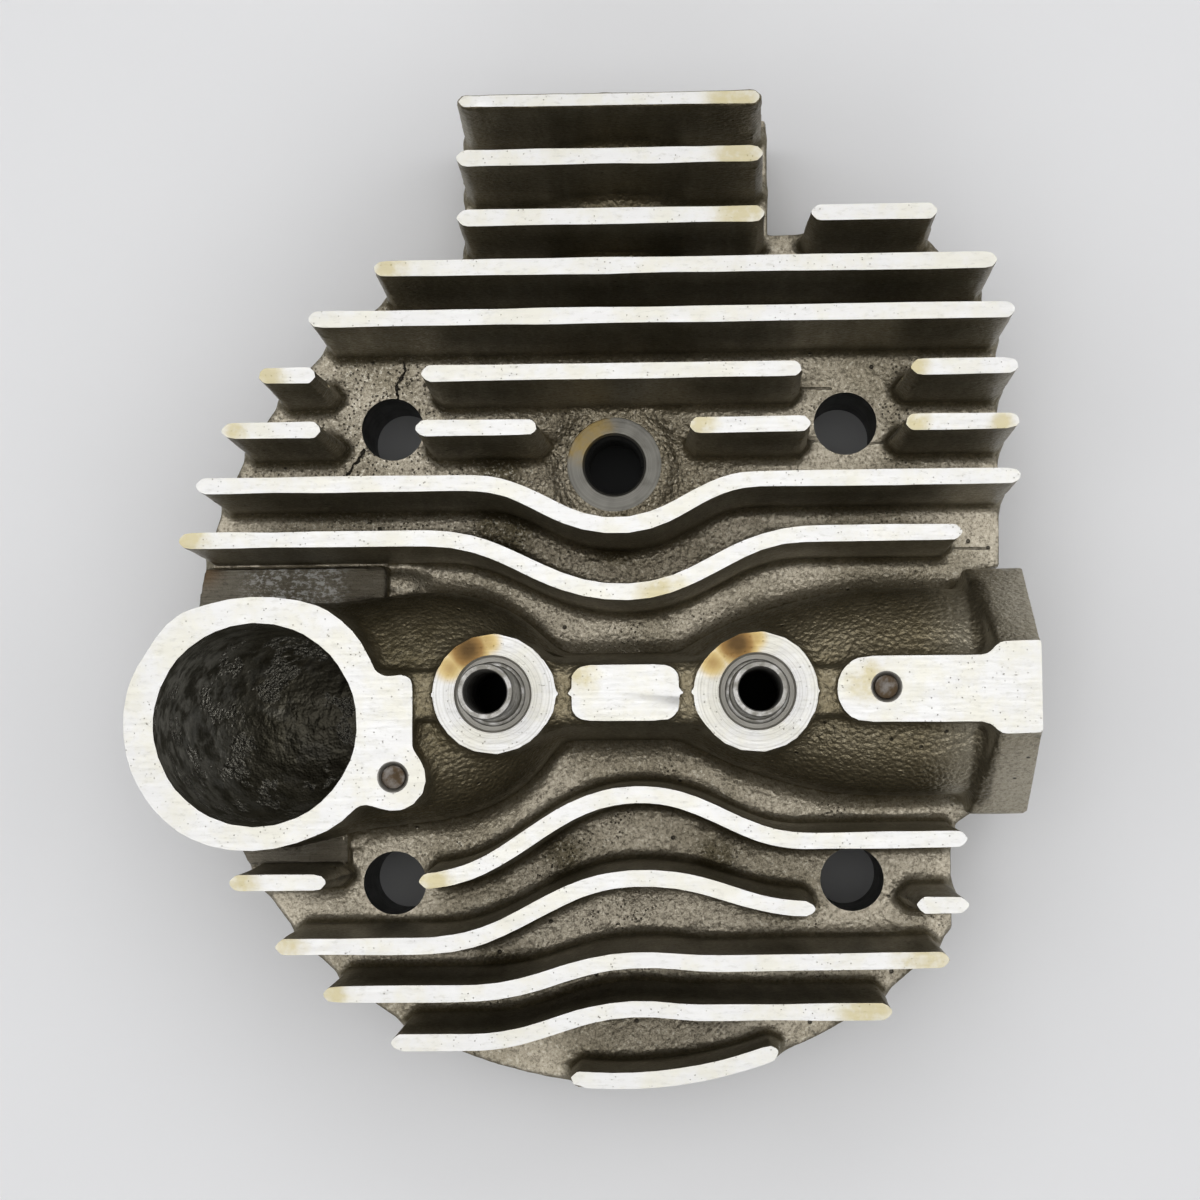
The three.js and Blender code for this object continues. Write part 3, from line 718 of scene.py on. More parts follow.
def cutters():
    """The machining cuts as closed meshes, in stages whose own cuts keep clear of each other."""
    planes = [
        block("top_plane", (-130, -130, TOP_Z), (120, 140, TOP_Z + 20)),
        block("gasket_plane", (-130, -130, -20), (120, 140, 0)),
    ]
    flange = block("flange_plane", (FLANGE_X, -60, -30), (FLANGE_X + 20, 40, TOP_Z + 30))
    hole = [(0, -5), (STUD_R, -5), (STUD_R, 60), (0, 60)]
    studs = [lathe("stud_hole", hole, (*stud, 0)) for stud in STUDS]
    chamber = [(0, -5), (CHAMBER_R + 0.5, -5), (CHAMBER_R, 0.5), (51.4, 10), (50.4, 13.4),
               (47.5, CHAMBER_Z), (0, CHAMBER_Z)]
    plug = [(0, 5), (PLUG_R, 5), (PLUG_R, 15.5), *threaded(PLUG_R, 17, 15.6),
            (PLUG_R, PLUG_SPOT_Z - 0.6), (PLUG_R + 0.5, PLUG_SPOT_Z), (PLUG_SPOT_R, PLUG_SPOT_Z),
            (PLUG_SPOT_R, 60), (0, 60)]
    guide = [(0, 45), (7.02, 45), (7.02, 70.5), (7.9, 70.75), (8.15, 71.1), (POCKET_R, TOP_Z),
             (POCKET_R, 77), (0, 77)]
    seats = []
    for centre, (seat_r, throat_r) in ((EXHAUST_VALVE, EXHAUST_SEAT), (INTAKE_VALVE, INTAKE_SEAT)):
        seat = [(0, 5), (seat_r + 0.02, 5), (seat_r + 0.02, SEAT_DEPTH_Z + 0.02),
                (throat_r, SEAT_DEPTH_Z + 0.02), (throat_r, 27), (0, 27)]
        seats.append(lathe("seat_pocket", seat, (*centre, 0)))
    dowel = [(0, 60.5), (2.62, 60.5), (2.62, 70.2), (DOWEL_HOLE_R, 70.8), (DOWEL_HOLE_R, 71.7),
             (DOWEL_HOLE_R + 0.3, TOP_Z), (DOWEL_HOLE_R + 0.3, 77), (0, 77)]
    bolt = [(0, -9), *threaded(3.9, 9, -8.6), (3.9, -0.5), (4.5, 0), (4.5, 5), (0, 5)]
    bolts = [lathe("bolt_hole", bolt, (FLANGE_X, FLANGE_Y, z), "X", 64)
             for z in (PORT_Z - FLANGE_BOLT_RISE, PORT_Z + FLANGE_BOLT_RISE)]
    return [
        planes,
        [*studs, flange, lathe("chamber", chamber, (0, 0, 0), segments=192),
         *(lathe("guide_bore", guide, (*centre, 0)) for centre in VALVES),
         *(lathe("dowel_hole", dowel, (*centre, 0), segments=64) for centre in DOWELS)],
        [*seats, *bolts, lathe("plug_hole", plug, (*PLUG, 0), segments=160)],
    ]


def joined(name, meshes):
    """One mesh that holds several."""
    shape = bmesh.new()
    for mesh in meshes:
        shape.from_mesh(mesh)
        bpy.data.meshes.remove(mesh)
    whole = bpy.data.meshes.new(name)
    shape.to_mesh(whole)
    shape.free()
    return whole


def machine(mesh):
    """The raw casting with every machining cut taken out of it."""
    casting = new_object("head_casting_visual", mesh)
    tools = []
    for stage in cutters():
        cut = joined("cut", stage)
        cut.transform(TO_FRAME)
        tools.append(new_object("cut", cut))
        modifier = casting.modifiers.new("cut", "BOOLEAN")
        modifier.operation = "DIFFERENCE"
        modifier.solver = "MANIFOLD"
        modifier.object = tools[-1]
    shape = casting.evaluated_get(bpy.context.evaluated_depsgraph_get())
    finished = bpy.data.meshes.new_from_object(shape)
    casting.modifiers.clear()
    casting.data = finished
    finished.materials.clear()
    for tool in tools:
        bpy.data.meshes.remove(tool.data)
    return casting


# ---- camera, floor and light ----
CAMERA_LENS = 79.14  # mm, on a sensor 36 mm wide
CAMERA_HEIGHT = 568.3  # mm above the milled tops
CAMERA_STAND = (15.28, -22.58)
CAMERA_AIM = (-3.33, 9.93)
CAMERA_ROLL = math.radians(-0.66)


def make_camera():
    """A camera high above the head, leaning a little towards the exhaust and the fin block."""
    camera = bpy.data.cameras.new("camera")
    camera.lens = CAMERA_LENS
    camera.sensor_width = 36
    camera.clip_start = 0.05
    camera.clip_end = 20
    stand = place(*CAMERA_STAND, TOP_Z + CAMERA_HEIGHT)
    view = (place(*CAMERA_AIM, TOP_Z) - stand).normalized()
    right = Vector((math.cos(CAMERA_ROLL), math.sin(CAMERA_ROLL), 0))
    right = (right - view * right.dot(view)).normalized()
    up = right.cross(view)
    rig = new_object("camera", camera)
    rig.matrix_world = Matrix.Translation(stand) @ Matrix((right, up, -view)).transposed().to_4x4()
    bpy.context.scene.camera = rig


# ---- materials ----
WANDER_SCALE = 700  # bends per metre in a wandering line


class Nodes:
    """Builds one material's node tree in a few short calls."""

    def __init__(self, name, slot_colour):
        self.material = bpy.data.materials.new(name)
        self.material.use_nodes = True
        self.material.diffuse_color = (*slot_colour, 1)
        self.tree = self.material.node_tree
        self.shader = self.tree.nodes["Principled BSDF"]
        self.position = self.add("ShaderNodeTexCoord").outputs["Object"]
        self.colour = None
        self.normal = {}  # the relief so far, as the input that takes it up

    def add(self, kind, inputs=(), **settings):
        """A new node; inputs pairs its sockets' names or numbers with what goes into them."""
        node = self.tree.nodes.new(kind)
        for key, value in settings.items():
            setattr(node, key, value)
        self.fill(node, inputs)
        return node

    def fill(self, node, inputs):
        """Links a node's sockets to others, or sets plain values on them."""
        for key, value in dict(inputs).items():
            if isinstance(value, bpy.types.NodeSocket):
                self.tree.links.new(value, node.inputs[key])
            else:
                node.inputs[key].default_value = value

    def maths(self, operation, *values, clamp=False):
        return self.add("ShaderNodeMath", enumerate(values), operation=operation,
                        use_clamp=clamp).outputs[0]

    def times(self, a, b):
        return self.maths("MULTIPLY", a, b)

    def linear(self, value, slope, start):
        return self.maths("MULTIPLY_ADD", value, slope, start)

    def vector(self, operation, *values):
        """One step of vector arithmetic; distances and dot products come out as numbers."""
        node = self.add("ShaderNodeVectorMath", enumerate(values), operation=operation)
        return node.outputs["Value" if operation in ("DISTANCE", "DOT_PRODUCT") else "Vector"]

    def scaled(self, scale_xyz):
        """The position, stretched or flattened along each axis."""
        inputs = {"Vector": self.position, "Scale": scale_xyz}
        return self.add("ShaderNodeMapping", inputs).outputs[0]

    def noise(self, size_mm, detail=3.0, rough=0.55, stretch=(1, 1, 1), seed=0.0, warp=0.0):
        """Soft noise with features about size_mm across."""
        inputs = {"Vector": self.scaled(stretch), "W": seed, "Scale": 1000 / size_mm,
                  "Detail": detail, "Roughness": rough, "Distortion": warp}
        return self.add("ShaderNodeTexNoise", inputs, noise_dimensions="4D").outputs["Fac"]

    def cells(self, size_mm):
        """Distance to the nearest of scattered points, 0 at each."""
        inputs = {"Vector": self.position, "Scale": 1000 / size_mm}
        return self.add("ShaderNodeTexVoronoi", inputs, feature="F1").outputs["Distance"]

    def ramp(self, value, low, high, at_low=0.0, at_high=1.0):
        """Maps low..high to at_low..at_high, smoothly, and no further."""
        inputs = enumerate((value, low, high, at_low, at_high))
        return self.add("ShaderNodeMapRange", inputs, interpolation_type="SMOOTHSTEP").outputs[0]

    def paint(self, amount, *colours):
        """Lays a colour over the one so far; the first coat names the colour below it too."""
        below = (*colours[0], 1) if len(colours) > 1 else self.colour
        inputs = {0: amount, 6: below, 7: (*colours[-1], 1)}
        self.colour = self.add("ShaderNodeMix", inputs, data_type="RGBA").outputs[2]

    def near(self, point, reach, blur):
        """1 inside reach metres of a point, fading out over blur."""
        gap = self.vector("DISTANCE", self.position, point)
        return self.ramp(gap, reach, reach + blur, 1.0, 0.0)

    def rings(self, centres, size_mm):
        """Distance to the nearest of some upright axes, and noise that runs round it."""
        nearest = 1.0
        for centre in centres:
            gap = self.vector("DISTANCE", self.scaled((1, 1, 0)), place(*centre, 0))
            nearest = self.maths("MINIMUM", gap, nearest)
        inputs = {"W": nearest, "Scale": 1000 / size_mm, "Detail": 3}
        node = self.add("ShaderNodeTexNoise", inputs, noise_dimensions="1D")
        return nearest, node.outputs["Fac"]

    def spots(self, places, noise):
        """The strongest of several soft spots, with edges that follow the noise."""
        field = 0.0
        for x, y, z, reach in places:
            spot = self.near(place(x, y, z), 0, reach * 2 * MM)
            field = self.maths("MAXIMUM", spot, field)
        return self.times(field, self.ramp(noise, 0.3, 0.65, 0.55, 1.1))

    def lines(self, chains, width_mm, wander_mm):
        """1 on thin wandering lines on the floor between the fins."""
        wander = self.add("ShaderNodeTexNoise", {"Vector": self.position, "Scale": WANDER_SCALE})
        reach = (2 * wander_mm * MM, 2 * wander_mm * MM, 0)
        flat = self.vector("MULTIPLY_ADD", wander.outputs["Color"], reach, self.scaled((1, 1, 0)))
        field = 0.0
        for chain in chains:
            for first, last in zip(chain, chain[1:]):
                start, end = place(*first, 0), place(*last, 0)
                run = end - start
                centred = start + Vector((1, 1, 0)) * wander_mm * MM
                offset = self.vector("SUBTRACT", flat, centred)
                along = self.vector("DOT_PRODUCT", offset, run / run.length_squared)
                inputs = {0: run, "Scale": self.maths("ADD", along, 0.0, clamp=True)}
                nearest = self.add("ShaderNodeVectorMath", inputs, operation="SCALE").outputs[0]
                gap = self.vector("DISTANCE", offset, nearest)
                width = width_mm * MM
                line = self.ramp(gap, width / 2, width, 1.0, 0.0)
                field = self.maths("MAXIMUM", line, field)
        return field

    def facing_up(self):
        """How much the surface looks up: 1 when level, 0 when upright, less below."""
        normal = self.add("ShaderNodeNewGeometry").outputs["Normal"]
        return self.add("ShaderNodeSeparateXYZ", {0: normal}).outputs[2]

    def height(self):
        """The surface's height above the gasket face, in metres."""
        return self.add("ShaderNodeSeparateXYZ", {0: self.position}).outputs[2]

    def relief(self, value, depth_mm):
        """Adds relief of about depth_mm over the one so far; a socket's depth is in metres."""
        if not isinstance(depth_mm, bpy.types.NodeSocket):
            depth_mm *= MM
        inputs = {"Distance": depth_mm, "Height": value, **self.normal}
        self.normal = {"Normal": self.add("ShaderNodeBump", inputs).outputs[0]}

    def finish(self, roughness, metallic):
        self.fill(self.shader, {"Base Color": self.colour, "Roughness": roughness,
                                "Metallic": metallic, **self.normal})
        return self.material


DARK_SMOOTH_SPOTS = (  # dark, smooth places on the casting
    (-50, -10, 52, 17), (-55, 4, 48, 12), (-25.5, 29.5, 33, 7), (-28, 45, 33, 6.5), (13, 62, 33, 5),
    (-2, 26, 34, 6), (60, 24, 33, 4), (-14, -47, 33, 5), (-28, -72, 33, 6), (22, -48, 33, 5),
)
# painted shade: dark bands along the concave corners where the intake hump meets the flange
FLANGE_CORNER_SHADE = ([(80, -33), (80, -20)], [(80, 0), (80, 13)])
SEAMS = (
    [(74.5, 23.4), (84.6, 23.1)],
    [(42.5, 60.9), (49.3, 60.7)],
    [(42.3, 48.5), (45.2, 48.4)],
    [(57.8, 47.8), (61.8, 47.9)],
)
CRACKS = (
    [(-49.3, 69.2), (-49.9, 65.5), (-51.6, 62.8), (-51.2, 59.4)],
    [(-59.0, 47.8), (-60.6, 45.5), (-63.2, 42.2)],
)
STAINS = (  # yellow spots on the milled faces: x, y and reach in mm
    (-48.4, 82.5, 4), (-92.5, 23.8, 4), (-75.5, 59.2, 4), (-82.5, 47.9, 3), (-81.6, -50.1, 4),
    (-71, -63.8, 3.5), (65, -67.6, 6), (53, -78.5, 6), (18, 47.6, 4), (65.5, 59.6, 3),
    (65.3, 47.8, 3), (27, 119, 6), (28, 107, 6), (29, 94, 6), (54, -8, 4.5), (-8, -6, 4),
    (84, 46.7, 3), (-61, -74.2, 3), (-40, -51, 4), (10, 11, 5), (-25, -34, 5),
)
PLUG_STAINS = ((-9.3, 48.0, PLUG_SPOT_Z, 4), (-5.5, 52.1, PLUG_SPOT_Z, 4))
BURNS = (  # heat tints on the spring bosses
    (-32.0, -0.5, 72, 4.3), (-36.2, -4.2, 75, 3.5), (-27.9, 1.2, 75, 3.4),
    (26.0, 0.3, 72, 4.2), (20.9, -3.8, 75, 3.5), (29.6, 1.4, 75, 3.3),
)


def cast_aluminium():
    """Sand-cast skin: dark spots in the hollows, leathery humps and a bright, pitted floor, its
    brightness partly painted light.
    """
    m = Nodes("cast_aluminium", (0.3, 0.28, 0.23))
    grain = m.noise(1.1, 2, 0.6)
    pebbles = m.cells(1.15)
    fine = m.noise(0.65, 2, 0.7, seed=1)
    coarse = m.noise(7, 2, seed=2)
    streaks = m.noise(3, 3, 0.6, (1, 1, 0.12), seed=8)
    patches = m.noise(30, 3, warp=0.6, seed=3)
    up = m.facing_up()
    on_top = m.ramp(up, 0.6, 0.95)
    raised = m.times(m.ramp(m.height(), 0.035, 0.042), m.ramp(up, 0.15, 0.5))
    floor = m.times(on_top, m.maths("SUBTRACT", 1.0, raised))
    rare_pits = m.ramp(m.cells(6.5), 0.04, 0.09, 1.0, 0.0)
    worn = m.near(place(-50, 52, FLOOR_Z), 0.014, 0.034)
    pitted = m.maths("MAXIMUM", m.ramp(m.noise(16, 3, seed=12), 0.5, 0.64), worn)
    small_pits = m.times(m.ramp(m.cells(0.95), 0.14, 0.3, 0.8, 0.0), pitted)
    pits = m.maths("MAXIMUM", rare_pits, m.times(small_pits, floor))
    # dark, smooth spots, mostly in the channels between the fins and beside the exhaust hump
    dark_spots = m.spots(DARK_SMOOTH_SPOTS, m.noise(5, 3, 0.6, seed=6))
    flange = m.near(place(100, FLANGE_Y, PORT_Z), 0.026, 0.016)
    smooth = m.maths("SUBTRACT", 1.0, m.maths("MAXIMUM", dark_spots, flange), clamp=True)
    by_plug = m.near(place(*PLUG, FLOOR_Z), 0.015, 0.027)
    leather = m.times(m.maths("MAXIMUM", raised, by_plug), smooth)
    # painted shade in the concave corner between the humps and the flange, as dark bands
    corner = m.times(m.lines(FLANGE_CORNER_SHADE, 3.2, 0.5), raised)
    crack = m.times(m.lines(CRACKS, 0.36, 0.8), floor)
    seam = m.times(m.lines(SEAMS, 0.3, 0.15), floor)
    m.paint(m.ramp(patches, 0.35, 0.65), (0.21, 0.18, 0.115), (0.28, 0.25, 0.18))
    m.paint(m.ramp(streaks, 0.35, 0.7, 0.5, 0.0), (0.1, 0.083, 0.045))
    # partly painted light: the level floor faces are painted lighter than the walls, besides their
    # paler, pitted skin
    m.paint(m.times(floor, m.ramp(patches, 0.4, 0.6, 0.4, 0.9)), (0.53, 0.475, 0.375))
    m.paint(m.times(raised, 0.4), (0.31, 0.255, 0.15))
    m.paint(m.times(by_plug, 0.5), (0.33, 0.285, 0.2))
    # partly painted light: the flange's cast sides, facing outwards and up, are painted lighter,
    # besides their finer grain
    m.paint(m.times(flange, 0.75), (0.5, 0.46, 0.37))
    m.paint(m.ramp(dark_spots, 0.0, 0.8, 0.0, 0.8), (0.085, 0.068, 0.03))
    m.paint(m.times(corner, 0.75), (0.07, 0.055, 0.026))
    dark = m.ramp(fine, 0.36, 0.5, m.linear(floor, 0.12, 0.33), 0.0)
    m.paint(dark, (0.055, 0.045, 0.028))
    bright = m.linear(worn, 0.3, m.linear(floor, 0.2, 0.1))
    light = m.times(m.ramp(fine, 0.54, 0.68), bright)
    m.paint(light, (0.8, 0.76, 0.65))
    m.paint(m.times(pits, 0.85), (0.03, 0.026, 0.02))
    m.paint(m.times(seam, 0.7), (0.07, 0.06, 0.04))
    m.paint(crack, (0.02, 0.017, 0.012))
    m.relief(coarse, 0.35)
    m.relief(pebbles, m.linear(leather, -0.22 * MM, -0.1 * MM))
    m.relief(grain, m.linear(leather, 0.3 * MM, 0.2 * MM))
    m.relief(fine, 0.1)
    m.relief(pits, -0.25)
    m.relief(seam, 0.3)
    m.relief(crack, -0.5)
    return m.finish(m.ramp(fine, 0.3, 0.7, 0.5, 0.36), 0.8)


def milled_aluminium():
    m = Nodes("milled_aluminium", (0.85, 0.84, 0.82))
    marks = m.noise(0.6, 2, 0.6, (0.06, 1, 1))
    distance, turned = m.rings(VALVES, 0.5)
    on_boss = m.ramp(distance, 0.0128, 0.0136, 1.0, 0.0)
    haze = m.noise(9, 4, 0.65, seed=2)
    wear = m.noise(0.9, 3, 0.7, (0.35, 1, 1), seed=9)
    nick = m.ramp(m.noise(1.3, 3, 0.75, seed=7), 0.7, 0.75)
    specks = m.times(m.ramp(m.cells(1.1), 0.09, 0.17, 1.0, 0.0),
                     m.ramp(m.noise(5, 3, 0.6, seed=10), 0.42, 0.58))
    places = [(x, y, TOP_Z, reach) for x, y, reach in STAINS]
    stain = m.spots(places, m.noise(3.5, 3, 0.65, seed=3))
    burn = m.spots(BURNS, m.ramp(haze, 0.3, 0.7, 0.5, 0.56))
    m.paint(m.ramp(haze, 0.4, 0.65), (0.64, 0.635, 0.625), (0.62, 0.605, 0.54))
    m.paint(m.ramp(wear, 0.5, 0.75, 0.0, 0.5), (0.4, 0.39, 0.35))
    ring_tone = m.times(on_boss, m.ramp(turned, 0.42, 0.68, 0.0, 0.4))
    m.paint(ring_tone, (0.3, 0.285, 0.25))
    m.paint(m.times(specks, 0.6), (0.16, 0.14, 0.1))
    m.paint(m.times(nick, 0.7), (0.22, 0.2, 0.16))
    m.paint(m.ramp(stain, 0.1, 0.95, 0.0, 0.7), (0.44, 0.37, 0.16))
    m.paint(m.ramp(burn, 0.15, 0.5, 0.0, 0.85), (0.5, 0.36, 0.11))
    m.paint(m.ramp(burn, 0.4, 0.7, 0.0, 0.85), (0.2, 0.1, 0.028))
    m.paint(m.ramp(burn, 0.62, 0.95, 0.0, 0.85), (0.06, 0.035, 0.014))
    m.relief(marks, m.linear(on_boss, -0.015 * MM, 0.015 * MM))
    m.relief(turned, m.times(on_boss, 0.03 * MM))
    m.relief(wear, 0.02)
    m.relief(nick, -0.05)
    m.relief(specks, -0.05)
    return m.finish(m.ramp(marks, 0.3, 0.7, 0.36, 0.46), 0.9)


def bored_aluminium():
    m = Nodes("bored_aluminium", (0.4, 0.39, 0.36))
    _, turned = m.rings((*VALVES, PLUG), 0.45)
    bands = m.noise(0.7, 2, 0.6, (0.05, 0.05, 1))
    film = m.noise(3, 3, 0.6, seed=4)
    height = m.height()
    stain = m.spots(PLUG_STAINS, film)
    m.paint(m.ramp(turned, 0.35, 0.65), (0.19, 0.183, 0.162), (0.24, 0.233, 0.21))
    m.paint(m.ramp(film, 0.55, 0.75, 0.0, 0.4), (0.12, 0.11, 0.085))
    # painted light: the bores are painted lighter near the milled top, where light falls into them
    m.paint(m.ramp(height, 0.066, 0.0708, 0.0, 0.8), (0.6, 0.58, 0.53))
    m.paint(m.ramp(stain, 0.1, 0.9, 0.0, 0.75), (0.36, 0.25, 0.07))
    # painted shade: the bored faces below the floor's level, the lower stud hole walls and the plug
    # hole's chamfered mouth, are painted dark
    below = m.ramp(height, 0.0314, 0.0323, 1.0, 0.0)
    m.paint(m.times(below, 0.72), (0.03, 0.028, 0.024))
    # painted shade: the plug hole's mouth is painted near black, duller and less metallic, so that
    # the hole reads dark
    edge = m.times(below, m.near(place(*PLUG, PLUG_SPOT_Z), 0.008, 0.002))
    m.paint(edge, (0.007, 0.007, 0.006))
    rough = m.linear(edge, 0.45, m.ramp(film, 0.3, 0.7, 0.42, 0.52))
    metal = m.linear(edge, -0.8, 0.85)
    m.relief(turned, 0.03)
    m.relief(bands, 0.02)
    return m.finish(rough, metal)


def sooty_cast():
    """Cast metal inside the ports, black with soot and lighter where it is bare or wet with oil;
    light and shade are painted on the exhaust passage's walls.
    """
    m = Nodes("sooty_cast", (0.05, 0.045, 0.035))
    grain = m.noise(1.3, 3, 0.6)
    lumps = m.noise(4.5, 3, 0.6, seed=9)
    bare = m.ramp(m.noise(8, 4, 0.62, seed=3), 0.5, 0.66)
    wet = m.ramp(m.noise(7, 3, 0.6, seed=5), 0.52, 0.58)
    m.paint(m.ramp(lumps, 0.35, 0.65), (0.08, 0.072, 0.048), (0.15, 0.137, 0.1))
    # partly painted light: bare patches everywhere, grown stronger and lighter on the exhaust
    # passage's west wall
    west = m.near(place(-103, -14, 52), 0.01, 0.022)
    m.paint(m.times(bare, m.linear(west, 0.6, 0.28)), (0.42, 0.41, 0.37))
    # painted light: lighter patches on that west wall
    patch = m.times(m.ramp(lumps, 0.42, 0.58, 0.15, 1.0), m.ramp(grain, 0.3, 0.6, 0.5, 1.0))
    m.paint(m.times(west, patch), (0.62, 0.6, 0.53))
    # painted shade: the exhaust passage's wall further in, where the light through the mouth falls,
    # is painted dark
    east = m.near(place(-63, -16, 25), 0.01, 0.013)
    m.paint(m.times(east, 0.75), (0.045, 0.04, 0.028))
    m.paint(m.times(wet, 0.55), (0.36, 0.345, 0.3))
    m.relief(lumps, 1.3)
    m.relief(grain, m.linear(wet, 2.2 * MM, 0.2 * MM))
    # painted shade: the plug hole's threaded wall is painted near black, duller and less metallic
    plug_hole_shade = m.times(m.near(place(*PLUG, 24), 0.013, 0.003), m.ramp(m.height(), 0.0152, 0.016))
    m.paint(plug_hole_shade, (0.007, 0.007, 0.006))
    rough = m.linear(plug_hole_shade, 0.4, m.linear(wet, -0.22, 0.46))
    return m.finish(rough, m.linear(plug_hole_shade, -0.7, 0.75))


def sawn_aluminium():
    m = Nodes("sawn_aluminium", (0.3, 0.28, 0.24))
    lines = m.noise(0.35, 2, 0.6, (0.03, 1, 1))
    blotch = m.noise(0.9, 4, 0.75, (0.6, 1, 1), seed=6)
    middle = m.near(place(-75, 16, GATE_Z), 0.005, 0.012)
    specks = m.times(m.ramp(blotch, 0.48, 0.6), m.ramp(middle, 0.1, 0.8))
    smear = m.noise(14, 3, 0.6, seed=7)
    m.paint(m.ramp(smear, 0.35, 0.65), (0.14, 0.122, 0.09), (0.22, 0.2, 0.16))
    m.paint(m.ramp(lines, 0.4, 0.62, 0.4, 0.0), (0.08, 0.07, 0.05))
    m.paint(m.ramp(blotch, 0.3, 0.48, 0.6, 0.0), (0.06, 0.052, 0.038))
    m.paint(m.times(specks, 0.6), (0.55, 0.55, 0.53))
    corner = m.near(place(-96, 20.5, GATE_Z), 0.001, 0.006)
    m.paint(m.times(corner, 0.6), (0.14, 0.07, 0.02))
    m.relief(lines, 0.05)
    m.relief(blotch, 0.35)
    return m.finish(0.45, 0.8)


def steel(name, dark, light, roughness):
    m = Nodes(name, light)
    bands = m.noise(0.6, 2, 0.6, (0.1, 0.1, 1))
    film = m.noise(2.5, 4, 0.65, seed=5)
    m.paint(m.ramp(film, 0.4, 0.62), dark, light)
    m.paint(m.ramp(bands, 0.35, 0.6, 0.35, 0.0), dark)
    m.relief(bands, 0.03)
    m.relief(film, 0.06)
    return m.finish(m.ramp(film, 0.3, 0.7, roughness + 0.12, roughness), 0.9)


# ---- pressed-in pieces ----
GUIDE_R = 7.0
GUIDE_TOP_R = 5.9
GUIDE_BORE = 4.5  # radius
GUIDE_TOP_Z = 94.0


def guide_profile():
    """A valve guide's section: stepped outside, two grooves above its shoulder."""
    grooves = []
    for z in (78, 84):
        grooves += [(GUIDE_TOP_R, z), (GUIDE_TOP_R - 0.35, z + 0.3), (GUIDE_TOP_R - 0.35, z + 0.8),
                    (GUIDE_TOP_R, z + 1.1)]
    return [
        (GUIDE_BORE, 49.4), (GUIDE_BORE + 0.3, 49), (5.4, 49), (5.6, 49.2), (GUIDE_R, 53),
        (GUIDE_R, 70.0), (GUIDE_R - 0.2, 70.2), (GUIDE_TOP_R + 0.3, 70.3), (GUIDE_TOP_R, 70.8),
        *grooves, (GUIDE_TOP_R, 93.1), (GUIDE_TOP_R - 0.1, 93.8), (GUIDE_TOP_R - 0.3, GUIDE_TOP_Z),
        (GUIDE_BORE + 0.25, GUIDE_TOP_Z), (GUIDE_BORE + 0.05, 93.8), (GUIDE_BORE, 93.4),
    ]


def seat_profile(outer, throat):
    """A valve seat's section, cut at three angles."""
    return [(outer - 1.4, CHAMBER_Z), (outer - 0.2, CHAMBER_Z), (outer, CHAMBER_Z + 0.2),
            (outer, SEAT_DEPTH_Z), (throat, SEAT_DEPTH_Z), (throat, SEAT_DEPTH_Z - 3),
            (throat + 0.8, SEAT_DEPTH_Z - 4.2), (outer - 2.2, CHAMBER_Z + 0.9)]


def pin_profile(low, high):
    """A dowel's section, with a chamfered foot and a dished, rounded top."""
    return [(0, low), (2.2, low), (2.6, low + 0.4), (2.6, high - 0.45), (2.45, high - 0.15),
            (2.1, high), (1.3, high), (1.0, high - 0.12), (0, high - 0.2)]


def add_turned(node, profile, centre, material):
    """A turned piece in place of a CAD node, given from the cylinder axis."""
    mesh = lathe(node + "_visual", profile, (*centre, 0), segments=96)
    mesh.transform(TO_FRAME)
    mesh.materials.append(material)
    mesh.shade_smooth()
    mesh.set_sharp_from_angle(angle=SHARP_EDGE)
    piece = new_object(node + "_visual", mesh)
    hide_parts(node)
    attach(piece, "root")


CAST, MILLED, BORED, SOOTY, SAWN = range(5)


def face_materials(mesh):
    """Which material each face of the casting shows, from where it lies."""
    count = len(mesh.polygons)
    centre = np.empty(count * 3, np.float32)
    normal = np.empty(count * 3, np.float32)
    mesh.polygons.foreach_get("center", centre)
    mesh.polygons.foreach_get("normal", normal)
    x, y, z = (centre.reshape(-1, 3) / MM - (AXIS_X, AXIS_Y, 0)).T
    nx, _, nz = normal.reshape(-1, 3).T
    kind = np.full(count, CAST)
    for path in (exhaust_path(), intake_path()):
        kind[(tube_distance(path, x, y, z) < 0.6) & (z < TOP_Z - 0.02)] = SOOTY
    at_saw_cut = np.abs(z - GATE_Z) < 0.6
    kind[at_saw_cut & (x < -53.2) & (y > 9) & (y < 20.8)] = SAWN
    kind[at_saw_cut & (x < -62) & (y < -42)] = SAWN
    for stud in STUDS:
        wall = np.abs(round_distance(x, y, stud, STUD_R)) < 0.03
        kind[wall & (np.abs(nz) < 0.5)] = BORED
    kind[(round_distance(x, y, PLUG, PLUG_SPOT_R + 0.03) < 0) & (z > CHAMBER_Z - 1)] = BORED
    kind[(np.hypot(x, y) < CHAMBER_R + 1) & (z > 0.02) & (z < CHAMBER_Z + 0.05)] = SOOTY
    kind[(round_distance(x, y, PLUG, PLUG_R + 0.03) < 0) & (z < PLUG_SPOT_Z - 0.02)] = SOOTY
    for hole, reach, foot in (*((valve, POCKET_R + 0.05, 46) for valve in VALVES),
                              *((pin, DOWEL_HOLE_R + 0.35, 60) for pin in DOWELS)):
        inside = round_distance(x, y, hole, reach) < 0
        kind[inside & (z > foot) & (z < TOP_Z - 0.02)] = BORED
    kind[(np.abs(nz) > 0.999) & ((np.abs(z - TOP_Z) < 0.02) | (np.abs(z) < 0.02))] = MILLED
    kind[(np.abs(nx) > 0.999) & (np.abs(x - FLANGE_X) < 0.02)] = MILLED
    mesh.polygons.foreach_set("material_index", kind.astype(np.int32))


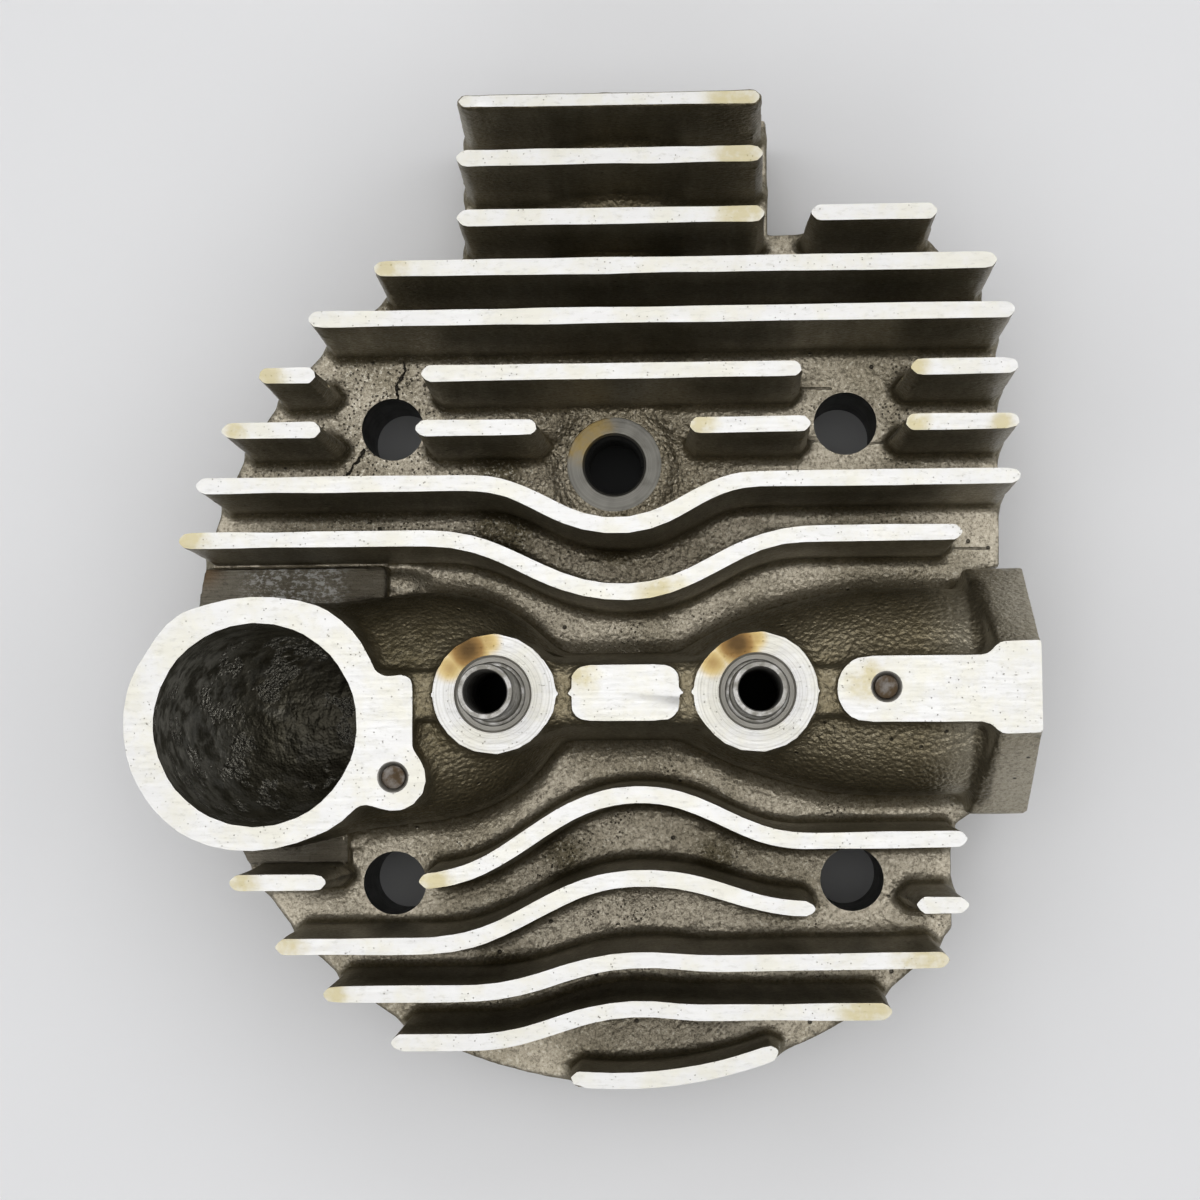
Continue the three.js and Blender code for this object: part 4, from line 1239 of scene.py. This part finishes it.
def make_floor():
    """A pale bench, with the shade inside the chamber as a dark and a grey disc below it."""
    mesh = bpy.data.meshes.new("floor")
    shape = bmesh.new()
    bmesh.ops.create_grid(shape, x_segments=1, y_segments=1, size=FLOOR_REACH)
    shape.to_mesh(mesh)
    shape.free()
    floor = new_object("floor", mesh)
    m = Nodes("pale_floor_painted_shade", (0.8, 0.8, 0.81))
    chamber_shade = m.near(place(0, 0, 0), CHAMBER_SHADE_DISC_R, 0.002)
    shaded = m.near(place(0, 0, 0), SHADED_DISC_R, 0.002)
    # painted shade: a grey disc under the gasket face and a near-black one under the chamber,
    # hidden by the head and seen only through its holes
    m.paint(shaded, (0.82, 0.82, 0.83), (0.42, 0.42, 0.42))
    m.paint(chamber_shade, (0.01, 0.01, 0.01))
    mesh.materials.append(m.finish(0.6, 0.0))


def make_lights():
    """Four softboxes round the camera, a weak one behind it and an even dim sky."""
    world = bpy.data.worlds.new("studio")
    world.use_nodes = True
    colour, strength = world.node_tree.nodes["Background"].inputs[:2]
    colour.default_value = (0.95, 0.97, 1.0, 1)
    strength.default_value = AMBIENT
    bpy.context.scene.world = world
    for x, y, width, depth, power in SOFTBOXES:
        light = bpy.data.lights.new("softbox", "AREA")
        light.shape = "RECTANGLE"
        light.size = width
        light.size_y = depth
        light.energy = power
        rig = new_object("softbox", light)
        rig.location = (x, y, SOFTBOX_Z)
        rig.rotation_euler = Vector((x, y, SOFTBOX_Z)).to_track_quat("Z", "Y").to_euler()


def main():
    make_camera()
    make_floor()
    make_lights()
    casting = machine(raw_casting())
    for material in (cast_aluminium(), milled_aluminium(), bored_aluminium(), sooty_cast(),
                     sawn_aluminium()):
        casting.data.materials.append(material)
    face_materials(casting.data)
    casting.data.shade_smooth()
    casting.data.set_sharp_from_angle(angle=SHARP_EDGE)
    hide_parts("head_casting")
    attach(casting, "root")
    guide = steel("guide_steel", (0.22, 0.21, 0.185), (0.46, 0.45, 0.43), 0.42)
    seat = steel("seat_steel", (0.2, 0.2, 0.2), (0.34, 0.34, 0.35), 0.35)
    dowel = steel("dowel_steel", (0.075, 0.052, 0.03), (0.17, 0.155, 0.14), 0.42)
    add_turned("exhaust_valve_guide", guide_profile(), EXHAUST_VALVE, guide)
    add_turned("intake_valve_guide", guide_profile(), INTAKE_VALVE, guide)
    add_turned("exhaust_valve_seat", seat_profile(*EXHAUST_SEAT), EXHAUST_VALVE, seat)
    add_turned("intake_valve_seat", seat_profile(*INTAKE_SEAT), INTAKE_VALVE, seat)
    add_turned("exhaust_pad_dowel", pin_profile(*DOWEL_Z), EXHAUST_DOWEL, dowel)
    add_turned("intake_pad_dowel", pin_profile(*DOWEL_Z), INTAKE_DOWEL, dowel)


main()
bpy.context.scene.view_settings.view_transform = "Standard"
